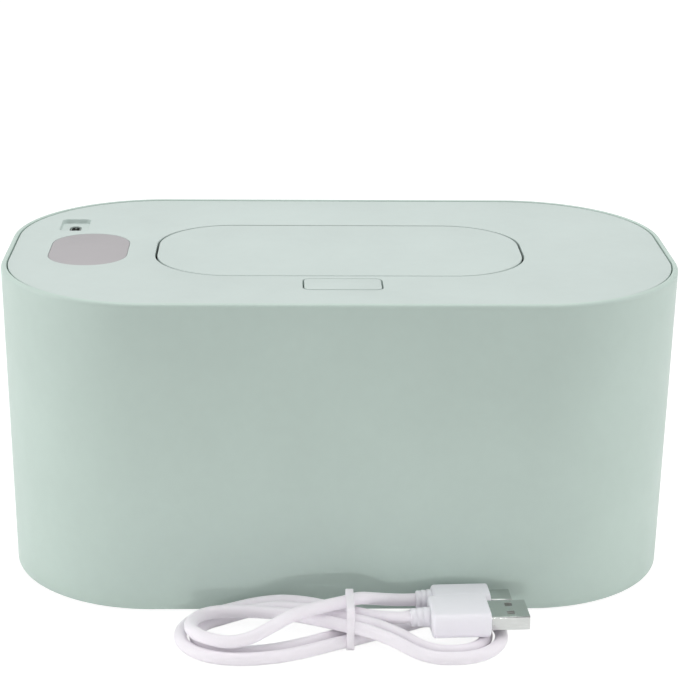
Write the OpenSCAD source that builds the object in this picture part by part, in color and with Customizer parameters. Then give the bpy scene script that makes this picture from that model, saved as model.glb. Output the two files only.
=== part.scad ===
// Baby wipe warmer: a drafted tub housing with a lift-off cover that carries the heater, its
// board and a sprung flip lid, and a short charging cable folded in a tied hank.
// Millimetres. +X to the right, +Y to the back, +Z up. The origin is on the surface that the
// feet stand on, under the middle of the housing.

/* [Housing] */
// Width over the rim
body_w = 218; // [200:1:250]
// Depth over the rim
body_d = 127.4; // [120:0.2:160]
// Height of the rim above the table
body_h = 102.2; // [98:0.1:130]
// Corner radius of the rim, seen from above
corner_r = 49.3; // [35:0.1:55]
// How far each side leans in from the rim to the base
draft = 1.7; // [0:0.1:3]
// Wall of the housing
shell_wall = 1.8; // [1.6:0.1:2.6]
// Radius on the rim's outer edge
rim_r = 1.3; // [0.6:0.1:1.5]
// Gap round the cover
seam = 0.4; // [0.3:0.05:0.6]
// Step from the rim down to the cover
rim_step = 0.3; // [0:0.1:1.5]

/* [Base] */
// Height of a foot below the housing
foot_proud = 0.6; // [0.4:0.1:2]
// Diameter of a foot
foot_d = 12; // [8:1:18]
// Thickness of the base cover
base_t = 2.4; // [2.2:0.1:4]
// Distance of the feet from the middle, along X
foot_x = 76; // [50:1:80]
// Distance of the feet from the middle, along Y
foot_y = 36; // [20:1:38]
// Diameter of the base's screw bosses
boss_d = 6.4; // [6:0.1:7]
// Height of the base's screw bosses
boss_h = 16; // [14:1:18]
// Thickness of the ribs that carry the liner
rib_t = 2; // [1.6:0.2:3]

/* [Liner] */
// Width of the gap between the housing and the liner at the top
liner_gap = 7; // [6.6:0.1:8]
// Wall of the liner
liner_wall = 2; // [1.5:0.1:2.5]
// How far each side of the liner leans in from top to floor
liner_lean = 3.3; // [2:0.1:5]
// Height of the liner's underside above the table
liner_z = 7; // [6:0.5:10]
// Thickness of the insulation
foam_t = 3; // [2:0.1:3.3]

/* [Cover] */
// Thickness of the top plate
plate_t = 2.2; // [2:0.1:2.6]
// Wall of the cover's skirt
skirt_wall = 1.8; // [1.4:0.1:2.2]
// Depth of the cover from its top face to the foot of its skirt
cover_h = 15.6; // [15.4:0.1:18]
// Thickness of the pan that closes the cover from below
pan_t = 1.8; // [1.6:0.1:2]
// Thickness of the gasket between cover and liner
gasket_t = 2; // [1.5:0.1:3]
// Width of the gasket
gasket_w = 4; // [3:0.1:4.5]

/* [Flip lid] */
// Width of the flip lid
lid_w = 119; // [110:0.5:124]
// Depth of the flip lid
lid_d = 59.7; // [58:0.1:62]
// Distance of the lid's middle in front of the housing's middle
lid_front_by = 1.8; // [0:0.1:3]
// Corner radius of the flip lid
lid_r = 24; // [15:0.5:28]
// Thickness of the lid's outer panel
lid_t = 2; // [1.6:0.1:2.2]
// Thickness of the lid's inner panel
lid_inner_t = 1.8; // [1.4:0.1:2.2]
// Gap round the lid
lid_gap = 0.7; // [0.5:0.05:1]
// Hinge axis behind the lid opening
hinge_back = 4.4; // [4.2:0.1:5]
// Hinge axis below the top face
hinge_down = 4.5; // [4.4:0.1:4.8]
// Diameter of the hinge axle
axle_d = 2.4; // [2:0.1:2.6]
// Diameter of a hinge arm's hub
hub_d = 5.2; // [4.8:0.1:5.4]
// Width of a hinge arm
arm_w = 6; // [5:0.5:8]
// Distance of the hinge arms from the middle
arm_x = 37; // [30:1:42]

/* [Release button] */
// Width of the button
button_w = 24; // [20:0.5:26]
// Depth of the button
button_d = 11.4; // [10:0.1:12]
// Corner radius of the button
button_r = 2; // [1:0.1:3]
// Gap round the button
button_gap = 0.5; // [0.4:0.05:0.7]
// Width of the bar between the lid's opening and the button's
bar_w = 2.5; // [2:0.1:3]
// Travel of the button
button_travel = 1.8; // [1:0.1:2]

/* [Window and socket] */
// Width of the grey window
window_w = 25.4; // [22:0.1:28]
// Length of the window, front to back
window_l = 37.6; // [34:0.1:40]
// Corner radius of the window
window_r = 12.2; // [8:0.1:12.6]
// Thickness of the window
window_t = 1.4; // [1:0.1:1.5]
// Distance of the window's middle from the housing's left side
window_in = 26.9; // [24:0.1:28]
// Width of the socket's well
well_w = 9.6; // [8:0.1:11]
// Length of the socket's well, front to back
well_l = 15; // [14:0.1:16]
// Depth of the socket's well
well_deep = 1.6; // [1:0.1:1.7]

/* [Dispensing mouth] */
// Width of the throat
throat_w = 84; // [70:1:90]
// Depth of the throat
throat_d = 34; // [30:1:36]
// Wall of the throat
throat_wall = 1.8; // [1.4:0.1:2.2]
// Length of the slot that the wipe comes through
slot_w = 58; // [40:1:64]
// Width of that slot
slot_d = 11; // [8:0.5:14]

/* [Heater] */
// Thickness of the heater plate
heater_t = 1.6; // [1:0.1:2]
// Drop from the pan to the heater plate
heater_drop = 2.8; // [2.4:0.1:3.5]

/* [Cable] */
// Diameter of the cord
cord_d = 4; // [3.6:0.1:4]
// Spacing of the runs, middle to middle
run_step = 4.7; // [4.7:0.1:5]
// Half the length of the hank, at the middle of its bundle
hank_l = 44.6; // [42:0.1:46]
// Half the width of the hank's inner runs
hank_b = 11.5; // [11:0.1:12]

/* [Hidden] */
$fn = 48;
eps = 0.01;

// Colours, as the photograph shows the outside; the inside is as such products are.
mint = [0.63, 0.71, 0.68];
mint_top = [0.68, 0.74, 0.72];
white = [0.9, 0.9, 0.89];
grey = [0.62, 0.6, 0.6];
steel = [0.7, 0.71, 0.72];
cord_white = [0.88, 0.86, 0.9];

// Heights, from the table up.
shell_z = foot_proud;
top_z = body_h - rim_step;
plate_z = top_z - plate_t;
skirt_z = top_z - cover_h;
flange_z = skirt_z - gasket_t;
flange_t = 2;
pan_z = skirt_z;
pan_top = pan_z + pan_t;
base_top = shell_z + base_t;
boss_top = base_top + boss_h;
heater_z = pan_z - heater_drop - heater_t;
film_t = 0.3;

// Half the lean of the housing's wall at a height, measured from the rim's outline.
function lean(z) = draft * (body_h - z) / (body_h - shell_z);
fit = 0.3;
corner_x = body_w / 2 - corner_r;
corner_y = body_d / 2 - corner_r;
cover_in = shell_wall + seam;
pan_in = cover_in + lean(skirt_z) + skirt_wall + 0.2;
flange_in = shell_wall + lean(flange_z) + fit;
liner_in = shell_wall + liner_gap;
rib_in = liner_in - foam_t - 2 * fit;

// Points of the rim's outline, moved in by a distance, at a height.
steps = 10;
function ring(inset, z) = [for (q = [0:3]) for (i = [0:steps])
    let (a = 90 * (q + i / steps), sx = (q == 0 || q == 3) ? 1 : -1, sy = q < 2 ? 1 : -1,
        r = corner_r - inset)
    [sx * corner_x + r * cos(a), sy * corner_y + r * sin(a), z]];

// A closed solid through rings of equal count.
module skin(rings) {
    n = len(rings[0]);
    m = len(rings);
    polyhedron(points = [for (r = rings) each r], faces = concat(
        [[for (i = [0:n - 1]) i]],
        [for (j = [0:m - 2]) for (i = [0:n - 1]) let (a = j * n + i, b = j * n + (i + 1) % n) each
            [[a, a + n, b], [b, a + n, b + n]]],
        [[for (i = [n - 1:-1:0]) (m - 1) * n + i]]));
}

// A solid from the rim's outline: each level is a distance in and a height.
module tub(levels) {
    skin([for (l = levels) ring(l[0], l[1])]);
}

// A rounded rectangle about the middle, with true arcs.
module rounded(w, d, r) {
    square([w - 2 * r, d], center = true);
    square([w, d - 2 * r], center = true);
    for (sx = [-1, 1], sy = [-1, 1]) translate([sx * (w / 2 - r), sy * (d / 2 - r)]) circle(r);
}

module slab(w, d, r, z0, z1) {
    translate([0, 0, z0]) linear_extrude(z1 - z0) rounded(w, d, r);
}

// A slab that follows the rim's outline, moved in by a distance.
module plan(inset, z0, z1) {
    slab(body_w - 2 * inset, body_d - 2 * inset, corner_r - inset, z0, z1);
}

module rod(d, z0, z1) {
    translate([0, 0, z0]) cylinder(d = d, h = z1 - z0);
}

// A shape drawn in the side view, Y to the right and Z up, pushed out along X.
module side_view(x0, x1) {
    translate([x0, 0, 0]) rotate([90, 0, 90]) linear_extrude(x1 - x0) children();
}

// ---- housing ----
boss_in = lean(base_top) + shell_wall + boss_d / 2 - 0.3;
boss_turns = [[1, 1, 45], [-1, 1, 135], [-1, -1, 225], [1, -1, 315]];
screw_pilot_d = 2.5;
screw_d = 2.4;

// Places on the wall of the housing: one in each corner, and one in the middle of front and back.
module at_bosses() {
    for (b = boss_turns)
        translate([b[0] * corner_x, b[1] * corner_y, 0]) rotate(b[2])
            translate([corner_r - boss_in, 0, 0]) children();
    for (s = [-1, 1]) translate([0, s * (body_d / 2 - boss_in), 0]) rotate(s * 90) children();
}

rib_turns = [[1, 1, 15], [1, 1, 72], [-1, 1, 108], [-1, 1, 165], [-1, -1, 195], [-1, -1, 252],
    [1, -1, 288], [1, -1, 345]];
rib_deep = rib_in - shell_wall;
rib_foot = boss_top + 4;

module outer_shell() color(mint) {
    fillet = [for (a = [0:22.5:90]) [rim_r * (1 - cos(a)), body_h - rim_r + rim_r * sin(a)]];
    difference() {
        tub(concat([[draft + 0.4, shell_z], [draft, shell_z + 0.4]], fillet));
        tub([[lean(shell_z) + shell_wall, shell_z - 1], [shell_wall, body_h + 1]]);
    }
    difference() {
        at_bosses() rod(boss_d, base_top, boss_top);
        at_bosses() rod(screw_pilot_d, base_top - 1, boss_top - 3);
    }
    // Ribs that the liner's flange hangs on
    for (b = rib_turns)
        translate([b[0] * corner_x, b[1] * corner_y, 0]) rotate(b[2])
            translate([corner_r - rib_in, -rib_t / 2, rib_foot])
                cube([rib_deep - lean(rib_foot) + 0.5, rib_t, flange_z - flange_t - rib_foot]);
}

head_d = 5.6;
head_t = 1.1;
// The cross in a screw's head
drive_l = 2.8;
drive_w = 0.7;
drive_deep = 0.6;
drive_r = 0.3;
base_in = lean(shell_z) + shell_wall + fit;
foot_pocket = 1.4;

module at_feet() {
    for (sx = [-1, 1], sy = [-1, 1]) translate([sx * foot_x, sy * foot_y, 0]) children();
}

module base_cover() color(mint) difference() {
    union() {
        plan(base_in, shell_z, base_top);
        // A stiffening frame on the inside
        difference() {
            plan(boss_in + boss_d, base_top - eps, base_top + 2.5);
            plan(boss_in + boss_d + rib_t, base_top - 1, base_top + 3);
        }
    }
    at_bosses() rod(screw_d + 0.8, shell_z - 1, base_top + 1);
    at_bosses() rod(head_d + 0.6, shell_z - 1, shell_z + head_t + 0.1);
    at_feet() rod(foot_d + 0.4, shell_z - 1, shell_z + foot_pocket);
}

module base_screws() color(steel) at_bosses() {
    rod(screw_d, shell_z + 0.1 + head_t - eps, boss_top - 4);
    difference() {
        rod(head_d, shell_z + 0.1, shell_z + 0.1 + head_t);
        for (a = [20, 110]) rotate(a)
            slab(drive_l, drive_w, drive_r, shell_z - 1, shell_z + 0.1 + drive_deep);
    }
}

module rubber_feet() color([0.25, 0.26, 0.26]) at_feet() {
    rod(foot_d - 0.6, 0, 0.4);
    rod(foot_d, 0.4 - eps, shell_z + foot_pocket);
}

// ---- liner ----
floor_r = 6;
liner_low = liner_in + liner_lean;

// Rings of the liner, moved in by a wall, from its floor up to a height.
function liner_levels(wall, top) = concat(
    [for (a = [0:30:90]) [liner_low + wall + floor_r * (1 - sin(a)), liner_z + wall + floor_r * (1 - cos(a))]],
    [[liner_in + wall, top]]);

module inner_tank() color(white) difference() {
    union() {
        tub(liner_levels(0, flange_z - 1));
        plan(flange_in, flange_z - flange_t, flange_z);
    }
    tub(liner_levels(liner_wall, flange_z + 1));
}

// The insulation lies against the liner over its straight wall.
foam_z0 = boss_top + 2;
foam_z1 = flange_z - flange_t - 4;
function liner_at(z) = liner_in + liner_lean * (flange_z - 1 - z) / (flange_z - 1 - liner_z - floor_r);

module insulation_wrap() color([0.8, 0.8, 0.78]) difference() {
    tub([for (z = [foam_z0, foam_z1]) [liner_at(z) - fit - foam_t, z]]);
    tub([for (z = [foam_z0 - 1, foam_z1 + 1]) [liner_at(z) - fit, z]]);
}

// ---- cover ----
lid_y = -lid_front_by;
lid_back = lid_y + lid_d / 2 + lid_gap;
lid_front = lid_y - lid_d / 2 - lid_gap;
hinge_y = lid_back + hinge_back;
hinge_z = top_z - hinge_down;
ear_t = 3;
ear_gap = 0.4;
hub_r = hub_d / 2;
button_y = lid_front - bar_w - button_gap - button_d / 2;
guide_wall = 1.1;
// The button's flange under the plate is wider than its opening by this much a side.
button_lip = 1.4;
guide_w = button_w + 2 * button_lip + 1;
guide_back = lid_front - 0.3;
guide_front = button_y - button_d / 2 - 1.2;
guide_z = plate_z - 7.5;
window_x = -body_w / 2 + window_in;
window_y = -2;
window_ledge = 1.5;
// The well's middle, to the left of the window's middle and behind it
well_left_by = 7.5;
well_back_by = 30.2;
well_x = window_x - well_left_by;
well_y = window_y + well_back_by;
well_r = 2;
well_lip = 1.2;
socket_y = well_y - 1.2;
socket_w = 3.3;
socket_l = 9;
socket_gap = 0.3;
// The board hangs under the window and the well, by its distances from the window's middle.
board_t = 1.6;
board_down = 6.6;
board_z = plate_z - board_down;
board_top = board_z + board_t;
board_left = 15.6;
board_right = 18;
board_front = 25;
board_back = 36.5;
board_x0 = window_x - board_left;
board_x1 = window_x + board_right;
board_y0 = window_y - board_front;
board_y1 = window_y + board_back;
board_hole_in = 4;
board_hole_up = 9;
board_holes = [[board_x0 + board_hole_in, board_y0 + board_hole_up],
    [board_x1 - board_hole_in, board_y0 + board_hole_in], [board_x1 - board_hole_in, board_y1 - board_hole_in]];
board_boss_d = 5;
small_screw_d = 1.5;
small_pilot_d = 1.6;
small_head_d = 3.6;
// The cover's screws: one in each corner, on an arc inside it, and two each at the front and back.
cover_boss_d = 6.4;
cover_screw_in = 14.4;
cover_screw_turn = 52.3;
side_screw_in = 15.2;
front_screw_x = 40;
back_screw_x = 50;
cover_arc = corner_r - cover_screw_in;
cover_holes = concat([for (sx = [-1, 1]) for (sy = [-1, 1])
    [sx * (corner_x + cover_arc * cos(cover_screw_turn)), sy * (corner_y + cover_arc * sin(cover_screw_turn))]],
    [for (sx = [-1, 1]) [sx * front_screw_x, side_screw_in - body_d / 2]],
    [for (sx = [-1, 1]) [sx * back_screw_x, body_d / 2 - side_screw_in]]);
clear_d = screw_d + 0.8;

module at(points) {
    for (p = points) translate([p[0], p[1], 0]) children();
}

// Rings about the hinge axis, drawn in the side view.
module hinge_circle(d) {
    translate([hinge_y, hinge_z]) circle(d = d);
}

ear_places = [for (s = [-1, 1]) for (e = [-1, 1])
    s * arm_x + e * (arm_w / 2 + ear_gap + ear_t / 2)];

module hinge_ears() {
    for (x = ear_places) side_view(x - ear_t / 2, x + ear_t / 2) difference() {
        union() {
            hinge_circle(hub_d);
            translate([hinge_y - hub_r, hinge_z]) square([hub_d, plate_z - hinge_z + 0.5]);
        }
        hinge_circle(axle_d);
    }
}

nose_z = plate_z - 5;
nose_t = 1.6;
nose_w = 8;

// Walls under the plate that guide the button; the rear one has a window for the lid's hook.
module button_guide() difference() {
    translate([-guide_w / 2 - guide_wall, guide_front - guide_wall, guide_z])
        cube([guide_w + 2 * guide_wall, guide_back - guide_front + guide_wall, plate_z - guide_z + eps]);
    translate([-guide_w / 2, guide_front, guide_z - 1])
        cube([guide_w, guide_back - guide_front - guide_wall, plate_z - guide_z + 2]);
    translate([-nose_w / 2 - 0.5, guide_back - guide_wall - 1, nose_z - 0.8])
        cube([nose_w + 1, guide_wall + 2, nose_t + 1]);
}

module top_cover() color(mint_top) difference() {
    union() {
        plan(cover_in, plate_z, top_z);
        difference() {
            plan(cover_in + lean(skirt_z), skirt_z, plate_z + eps);
            plan(cover_in + lean(skirt_z) + skirt_wall, skirt_z - 1, plate_z);
        }
        hinge_ears();
        button_guide();
        at(cover_holes) rod(cover_boss_d, pan_top, plate_z + eps);
        at(board_holes) rod(board_boss_d, board_top, plate_z + eps);
        // Ledge that carries the window
        translate([window_x, window_y, 0])
            slab(window_w + 2 * window_ledge, window_l + 2 * window_ledge, window_r + window_ledge,
                plate_z - 0.8, plate_z + eps);
        // Walls of the socket's well
        translate([well_x, well_y, 0])
            slab(well_w + 2 * well_lip, well_l + 2 * well_lip, well_r + well_lip,
                plate_z - 1.2, plate_z + eps);
    }
    translate([0, lid_y, 0])
        slab(lid_w + 2 * lid_gap, lid_d + 2 * lid_gap, lid_r + lid_gap, plate_z - 1, top_z + 1);
    translate([0, button_y, 0])
        slab(button_w + 2 * button_gap, button_d + 2 * button_gap, button_r + button_gap,
            plate_z - 1, top_z + 1);
    // Room for the hinge hubs under the plate
    for (s = [-1, 1]) side_view(s * arm_x - arm_w / 2 - ear_gap, s * arm_x + arm_w / 2 + ear_gap)
        hinge_circle(hub_d + 0.7);
    at(cover_holes) rod(screw_pilot_d, pan_top - 1, plate_z - 1);
    at(board_holes) rod(small_pilot_d, board_top - 1, plate_z - 1);
    translate([window_x, window_y, 0]) {
        slab(window_w + 0.2, window_l + 0.2, window_r + 0.1, top_z - window_t, top_z + 1);
        slab(window_w - 5, window_l - 5, window_r - 2.5, plate_z - 3, top_z);
    }
    translate([well_x, well_y, 0]) {
        slab(well_w, well_l, well_r, top_z - well_deep, top_z + 1);
        translate([0, socket_y - well_y, 0])
            slab(socket_w + 2 * socket_gap, socket_l + 2 * socket_gap, socket_w / 2 + socket_gap - eps,
                plate_z - 3, top_z);
    }
}

throat_y = -2;
throat_r = throat_d / 2 - 1;
throat_top = top_z - 6.4;
throat_ledge = 2;
// The leads' hole lies beside the board, in from its right and back edges.
lead_hole_by = 4.1;
lead_hole_in = 10.5;
lead_hole_d = 5;
lead_hole = [board_x1 + lead_hole_by, board_y1 - lead_hole_in];
// Posts that carry the heater: at the sides, and in front of and behind the throat.
post_d = 4.6;
post_x = body_w / 2 - 47;
post_y = body_d / 2 - 37.7;
post_mid_x = 20;
post_back_y = body_d / 2 - 27.7;
post_front_y = 25.7 - body_d / 2;
heater_posts = [[-post_x, -post_y], [post_x, -post_y], [-post_x, lead_hole[1] - 12], [post_x, post_y],
    [-post_mid_x, post_back_y], [post_mid_x, post_back_y],
    [-post_mid_x, post_front_y], [post_mid_x, post_front_y]];
ledge_z = pan_top + 1.6;
spring_seat_d = 3.4;
spring_seat_h = 1.5;

module cover_pan() color(white) difference() {
    union() {
        plan(pan_in, pan_z, pan_top);
        translate([0, throat_y, 0])
            slab(throat_w + 2 * throat_wall, throat_d + 2 * throat_wall, throat_r + throat_wall,
                heater_z + 0.4, throat_top);
        at(heater_posts) rod(post_d, heater_z + heater_t, pan_z + eps);
        // Seat of the button's spring
        translate([0, button_y, 0]) rod(spring_seat_d, pan_top - eps, pan_top + spring_seat_h);
    }
    translate([0, throat_y, 0]) {
        slab(throat_w, throat_d, throat_r, ledge_z, throat_top + 1);
        slab(throat_w - 2 * throat_ledge, throat_d - 2 * throat_ledge, throat_r - throat_ledge,
            heater_z - 1, throat_top);
    }
    at(cover_holes) rod(clear_d, pan_z - 1, pan_top + 1);
    at(heater_posts) rod(small_pilot_d, heater_z, pan_z);
    at([lead_hole]) rod(lead_hole_d, pan_z - 1, pan_top + 1);
}

module cover_screws() color(steel) at(cover_holes) {
    rod(screw_d, pan_z - eps, plate_z - 2);
    difference() {
        rod(head_d, pan_z - head_t, pan_z);
        for (a = [0, 90]) rotate(a)
            slab(drive_l, drive_w, drive_r, pan_z - head_t - 1, pan_z - head_t + drive_deep);
    }
}

gasket_in = cover_in + lean(skirt_z) + 0.2;

module cover_gasket() color([0.75, 0.76, 0.76]) difference() {
    plan(gasket_in, flange_z, skirt_z);
    plan(gasket_in + gasket_w, flange_z - 1, skirt_z + 1);
}

mouth_t = 2;
mouth_fit = 0.25;
mouth_lip = 3;
mouth_lip_h = 1.2;

module dispensing_mouth() color([0.78, 0.79, 0.79]) translate([0, throat_y, 0]) difference() {
    union() {
        slab(throat_w - 2 * mouth_fit, throat_d - 2 * mouth_fit, throat_r - mouth_fit,
            ledge_z, ledge_z + mouth_t);
        // Raised lip round the slot
        slab(slot_w + 2 * mouth_lip, slot_d + 2 * mouth_lip, slot_d / 2 + mouth_lip - 0.1,
            ledge_z + mouth_t - eps, ledge_z + mouth_t + mouth_lip_h);
    }
    slab(slot_w, slot_d, slot_d / 2 - eps, ledge_z - 1, ledge_z + mouth_t + 3);
}

// ---- heater ----
heater_gap = 2;
heater_in = liner_in + liner_wall + heater_gap;
throat_clear = 0.5;
film_in = 3;
film_clear = 2;

module heater_plate() color([0.8, 0.81, 0.82]) difference() {
    plan(heater_in, heater_z, heater_z + heater_t);
    translate([0, throat_y, 0])
        slab(throat_w + 2 * (throat_wall + throat_clear), throat_d + 2 * (throat_wall + throat_clear),
            throat_r + throat_wall + throat_clear, heater_z - 1, heater_z + heater_t + 1);
    at(heater_posts) rod(small_screw_d + 0.7, heater_z - 1, heater_z + heater_t + 1);
}

// A thin foil heater bonded to the plate, clear of the posts.
module heater_film() color([0.75, 0.5, 0.2]) difference() {
    plan(heater_in + film_in, heater_z + heater_t, heater_z + heater_t + film_t);
    translate([0, throat_y, 0])
        slab(throat_w + 2 * (throat_wall + film_clear), throat_d + 2 * (throat_wall + film_clear),
            throat_r + throat_wall + film_clear, heater_z, heater_z + heater_t + 1);
    at(heater_posts) rod(post_d + 1, heater_z, heater_z + heater_t + 1);
}

module heater_screws() color(steel) at(heater_posts) {
    rod(small_screw_d, heater_z - eps, pan_z - 0.5);
    rod(small_head_d, heater_z - 0.8, heater_z);
}

film_top = heater_z + heater_t + film_t;
sensor_x = -body_w / 2 + 39;
sensor_y = -6;
sensor_w = 6;
sensor_l = 3.4;
sensor_t = 1.4;
sensor_bead_d = 2.4;
sensor_bead_h = 0.6;

module temperature_sensor() color([0.2, 0.2, 0.22]) translate([sensor_x, sensor_y, 0]) {
    slab(sensor_w, sensor_l, 1, film_top, film_top + sensor_t);
    rod(sensor_bead_d, film_top + sensor_t - eps, film_top + sensor_t + sensor_bead_h);
}

// ---- tubes ----
function unit(v) = v / norm(v);
function along(p, i) = unit(p[min(i + 1, len(p) - 1)] - p[max(i - 1, 0)]);

// Rings of a tube along a path, kept from twisting by carrying the side direction on.
function side_start(t) = unit(cross(t, abs(t[2]) < 0.8 ? [0, 0, 1] : [0, 1, 0]));
function sides_along(p, i, s) = i >= len(p) ? [] :
    let (t = along(p, i), k = unit(s - t * (s * t))) concat([k], sides_along(p, i + 1, k));

module tube(path, d, n) {
    sides = sides_along(path, 0, side_start(along(path, 0)));
    rings = [for (i = [0:len(path) - 1]) let (t = along(path, i), u = sides[i], v = cross(t, u))
        [for (k = [0:n - 1]) let (a = 360 * (k + 0.5) / n) path[i] + (u * cos(a) + v * sin(a)) * d / 2]];
    m = len(rings);
    polyhedron(points = [for (r = rings) each r], faces = concat(
        [[for (i = [0:n - 1]) i]],
        [for (j = [0:m - 2]) for (i = [0:n - 1]) let (a = j * n + i, b = j * n + (i + 1) % n) each
            [[a, a + n, b], [b, a + n, b + n]]],
        [[for (i = [n - 1:-1:0]) (m - 1) * n + i]]));
}

lead_d = 1.3;
lead_z = board_z - 1.6;
lead_low = film_top + lead_d / 2;

// Two leads from the board's plug down through the pan to the foil.
function lead_path(y) = [[board_x1 - 2.5, y, lead_z], [board_x1 + 1, y, lead_z],
    [lead_hole[0] - 1, (y + lead_hole[1]) / 2, pan_top + 1.6], [lead_hole[0], (y + lead_hole[1]) / 2, pan_z],
    [lead_hole[0] - 1.5, (y + lead_hole[1]) / 2, lead_low + 0.4],
    [lead_hole[0] - 4.5, (y + lead_hole[1]) / 2, lead_low], [lead_hole[0] - 9, y, lead_low]];

module heater_leads() color([0.75, 0.15, 0.12])
    for (y = [lead_hole[1] - 1.6, lead_hole[1] + 1.6]) tube(lead_path(y), lead_d, 8);

// ---- board ----
board_w = board_x1 - board_x0;
board_l = board_y1 - board_y0;

module control_board() color([0.12, 0.35, 0.2]) difference() {
    translate([(board_x0 + board_x1) / 2, (board_y0 + board_y1) / 2, 0])
        slab(board_w, board_l, 3, board_z, board_top);
    at(board_holes) rod(2, board_z - 1, board_top + 1);
}

module block(x, y, w, d, z0, z1) {
    translate([x - w / 2, y - d / 2, z0]) cube([w, d, z1 - z0]);
}

// Parts on the board: each one's width, length and height
chip = [7, 7, 1.2];
switch = [6.5, 6, 2.2];
regulator = [3, 3, 1.1];
coil_d = 6;
coil_h = 3;
lead_plug = [7, 8, 4];
resistor = [1, 2, 0.7];
resistor_step = 3;

module on_board(x, y, size) {
    block(x, y, size[0], size[1], board_top, board_top + size[2]);
}

module board_components() color([0.15, 0.15, 0.16]) {
    on_board(window_x, board_y0 + 6, chip);
    on_board(board_x1 - 5, board_y0 + 31, switch);
    on_board(board_x1 - 4.5, board_y0 + 41, regulator);
    translate([window_x + 6, well_y, 0]) rod(coil_d, board_top, board_top + coil_h);
    block(board_x1 - 6, lead_hole[1], lead_plug[0], lead_plug[1], board_z - lead_plug[2], board_z);
    for (k = [0:4]) on_board(board_x0 + 9 + resistor_step * k, board_y0 + 2.4, resistor);
}

module board_screws() color(steel) at(board_holes) {
    rod(small_screw_d, board_z - eps, plate_z - 1.5);
    rod(small_head_d, board_z - 1, board_z);
}

display_w = 16;
display_l = 24;

module display_module() color([0.9, 0.9, 0.88]) translate([window_x, window_y, 0])
    slab(display_w, display_l, 1, board_top, top_z - window_t - 0.2);

module display_window() color(grey) translate([window_x, window_y, 0])
    slab(window_w, window_l, window_r, top_z - window_t, top_z - 0.05);

module usb_socket() color(steel) translate([well_x, socket_y, 0]) {
    difference() {
        slab(socket_w, socket_l, socket_w / 2 - eps, board_top, top_z - well_deep - 0.3);
        slab(socket_w - 0.7, socket_l - 0.7, (socket_w - 0.7) / 2 - eps, board_top + 1, top_z);
    }
    block(0, 0, 0.7, 6.6, board_top + 0.9, top_z - well_deep - 1);
}

// ---- hinge ----
module lid_hinge_axle() color(steel)
    side_view(ear_places[0] - ear_t / 2, ear_places[3] + ear_t / 2) hinge_circle(axle_d);

spring_x = arm_x - arm_w / 2 - ear_gap - ear_t - 0.6;
spring_wire = 0.7;
spring_r = axle_d / 2 + spring_wire / 2 + 0.25;
spring_turns = 5;
// A place at a distance and angle round the hinge axis, at an X.
function round_hinge(x, r, a) = [x, hinge_y + r * cos(a), hinge_z + r * sin(a)];
leg_l = 6.3;
// The fixed leg lies under the plate, the moving one under the link of a hinge arm.
fixed_a = asin((plate_z - hinge_z - spring_wire / 2 - 0.05) / leg_l);
leg_a = 276;
leg_lead = acos(spring_r / leg_l);
coil_a0 = fixed_a - leg_lead;
coil_sweep = coil_a0 - (leg_a + leg_lead) + 360 * spring_turns;
coil_steps = 12 * spring_turns;
coil_pitch = spring_wire + 0.3;

// Coil round the axle; each leg leaves it along the tangent.
module lid_spring() color(steel) tube(concat(
    [round_hinge(-spring_x + spring_turns * coil_pitch, leg_l, fixed_a)],
    [for (i = [0:coil_steps]) round_hinge(-spring_x + (1 - i / coil_steps) * spring_turns * coil_pitch,
        spring_r, coil_a0 - coil_sweep * i / coil_steps)],
    [round_hinge(-spring_x, leg_l - 1, leg_a), round_hinge(-spring_x - 0.8, leg_l, leg_a),
        round_hinge(-arm_x, leg_l, leg_a)]), spring_wire, 6);

lid_inner_in = 1.5;
lid_under = top_z - lid_t - lid_inner_t;
// Clear of the plate's edge as the lid swings up over it
swing_r = norm([hinge_back, hinge_down]) + 0.3;
arm_r0 = swing_r + 0.2;
arm_t = 2;
link_a = 260;

module lid_back_relief() {
    side_view(-lid_w, lid_w) hinge_circle(2 * (swing_r + 0.4));
}

// The lower half is set in all round, so that the lid clears its opening as it swings.
lid_rebate = 0.8;

module flip_lid() color(mint_top) difference() {
    translate([0, lid_y, 0]) {
        slab(lid_w, lid_d, lid_r, top_z - lid_t / 2, top_z);
        slab(lid_w - 2 * lid_rebate, lid_d - 2 * lid_rebate, lid_r - lid_rebate,
            top_z - lid_t, top_z - lid_t / 2 + eps);
    }
    lid_back_relief();
}

// A bent arm: out of the hub, under the plate's edge and up to the lid.
module hinge_arm() {
    difference() {
        union() {
            hinge_circle(hub_d);
            intersection() {
                difference() {
                    hinge_circle(2 * (arm_r0 + arm_t));
                    hinge_circle(2 * arm_r0);
                }
                translate([hinge_y, hinge_z]) polygon([[0, 0], 20 * [cos(170), sin(170)],
                    20 * [cos(200), sin(200)], 20 * [cos(link_a), sin(link_a)]]);
            }
            translate([hinge_y, hinge_z]) rotate(link_a) translate([1, -arm_t / 2])
                square([arm_r0 + arm_t - 1.3, arm_t]);
        }
        hinge_circle(axle_d + 0.1);
    }
}

module lid_inner_panel() color(white) {
    difference() {
        translate([0, lid_y, 0])
            slab(lid_w - 2 * lid_inner_in, lid_d - 2 * lid_inner_in, lid_r - lid_inner_in, lid_under, top_z - lid_t);
        lid_back_relief();
    }
    difference() {
        for (s = [-1, 1]) side_view(s * arm_x - arm_w / 2, s * arm_x + arm_w / 2) hinge_arm();
        translate([0, 0, lid_under]) slab(2 * lid_w, 4 * lid_d, 1, 0.5, 20);
    }
}

seal_w = 2.6;

module lid_seal() color([0.78, 0.79, 0.79]) translate([0, throat_y, 0]) difference() {
    slab(throat_w + seal_w, throat_d + seal_w, throat_r + seal_w / 2, throat_top + 0.2, lid_under);
    slab(throat_w - seal_w, throat_d - seal_w, throat_r - seal_w / 2, throat_top - 1, lid_under + 1);
}

hook_t = 1.1;
hook_foot = 9;
hook_y = lid_front + 0.2;

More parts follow.
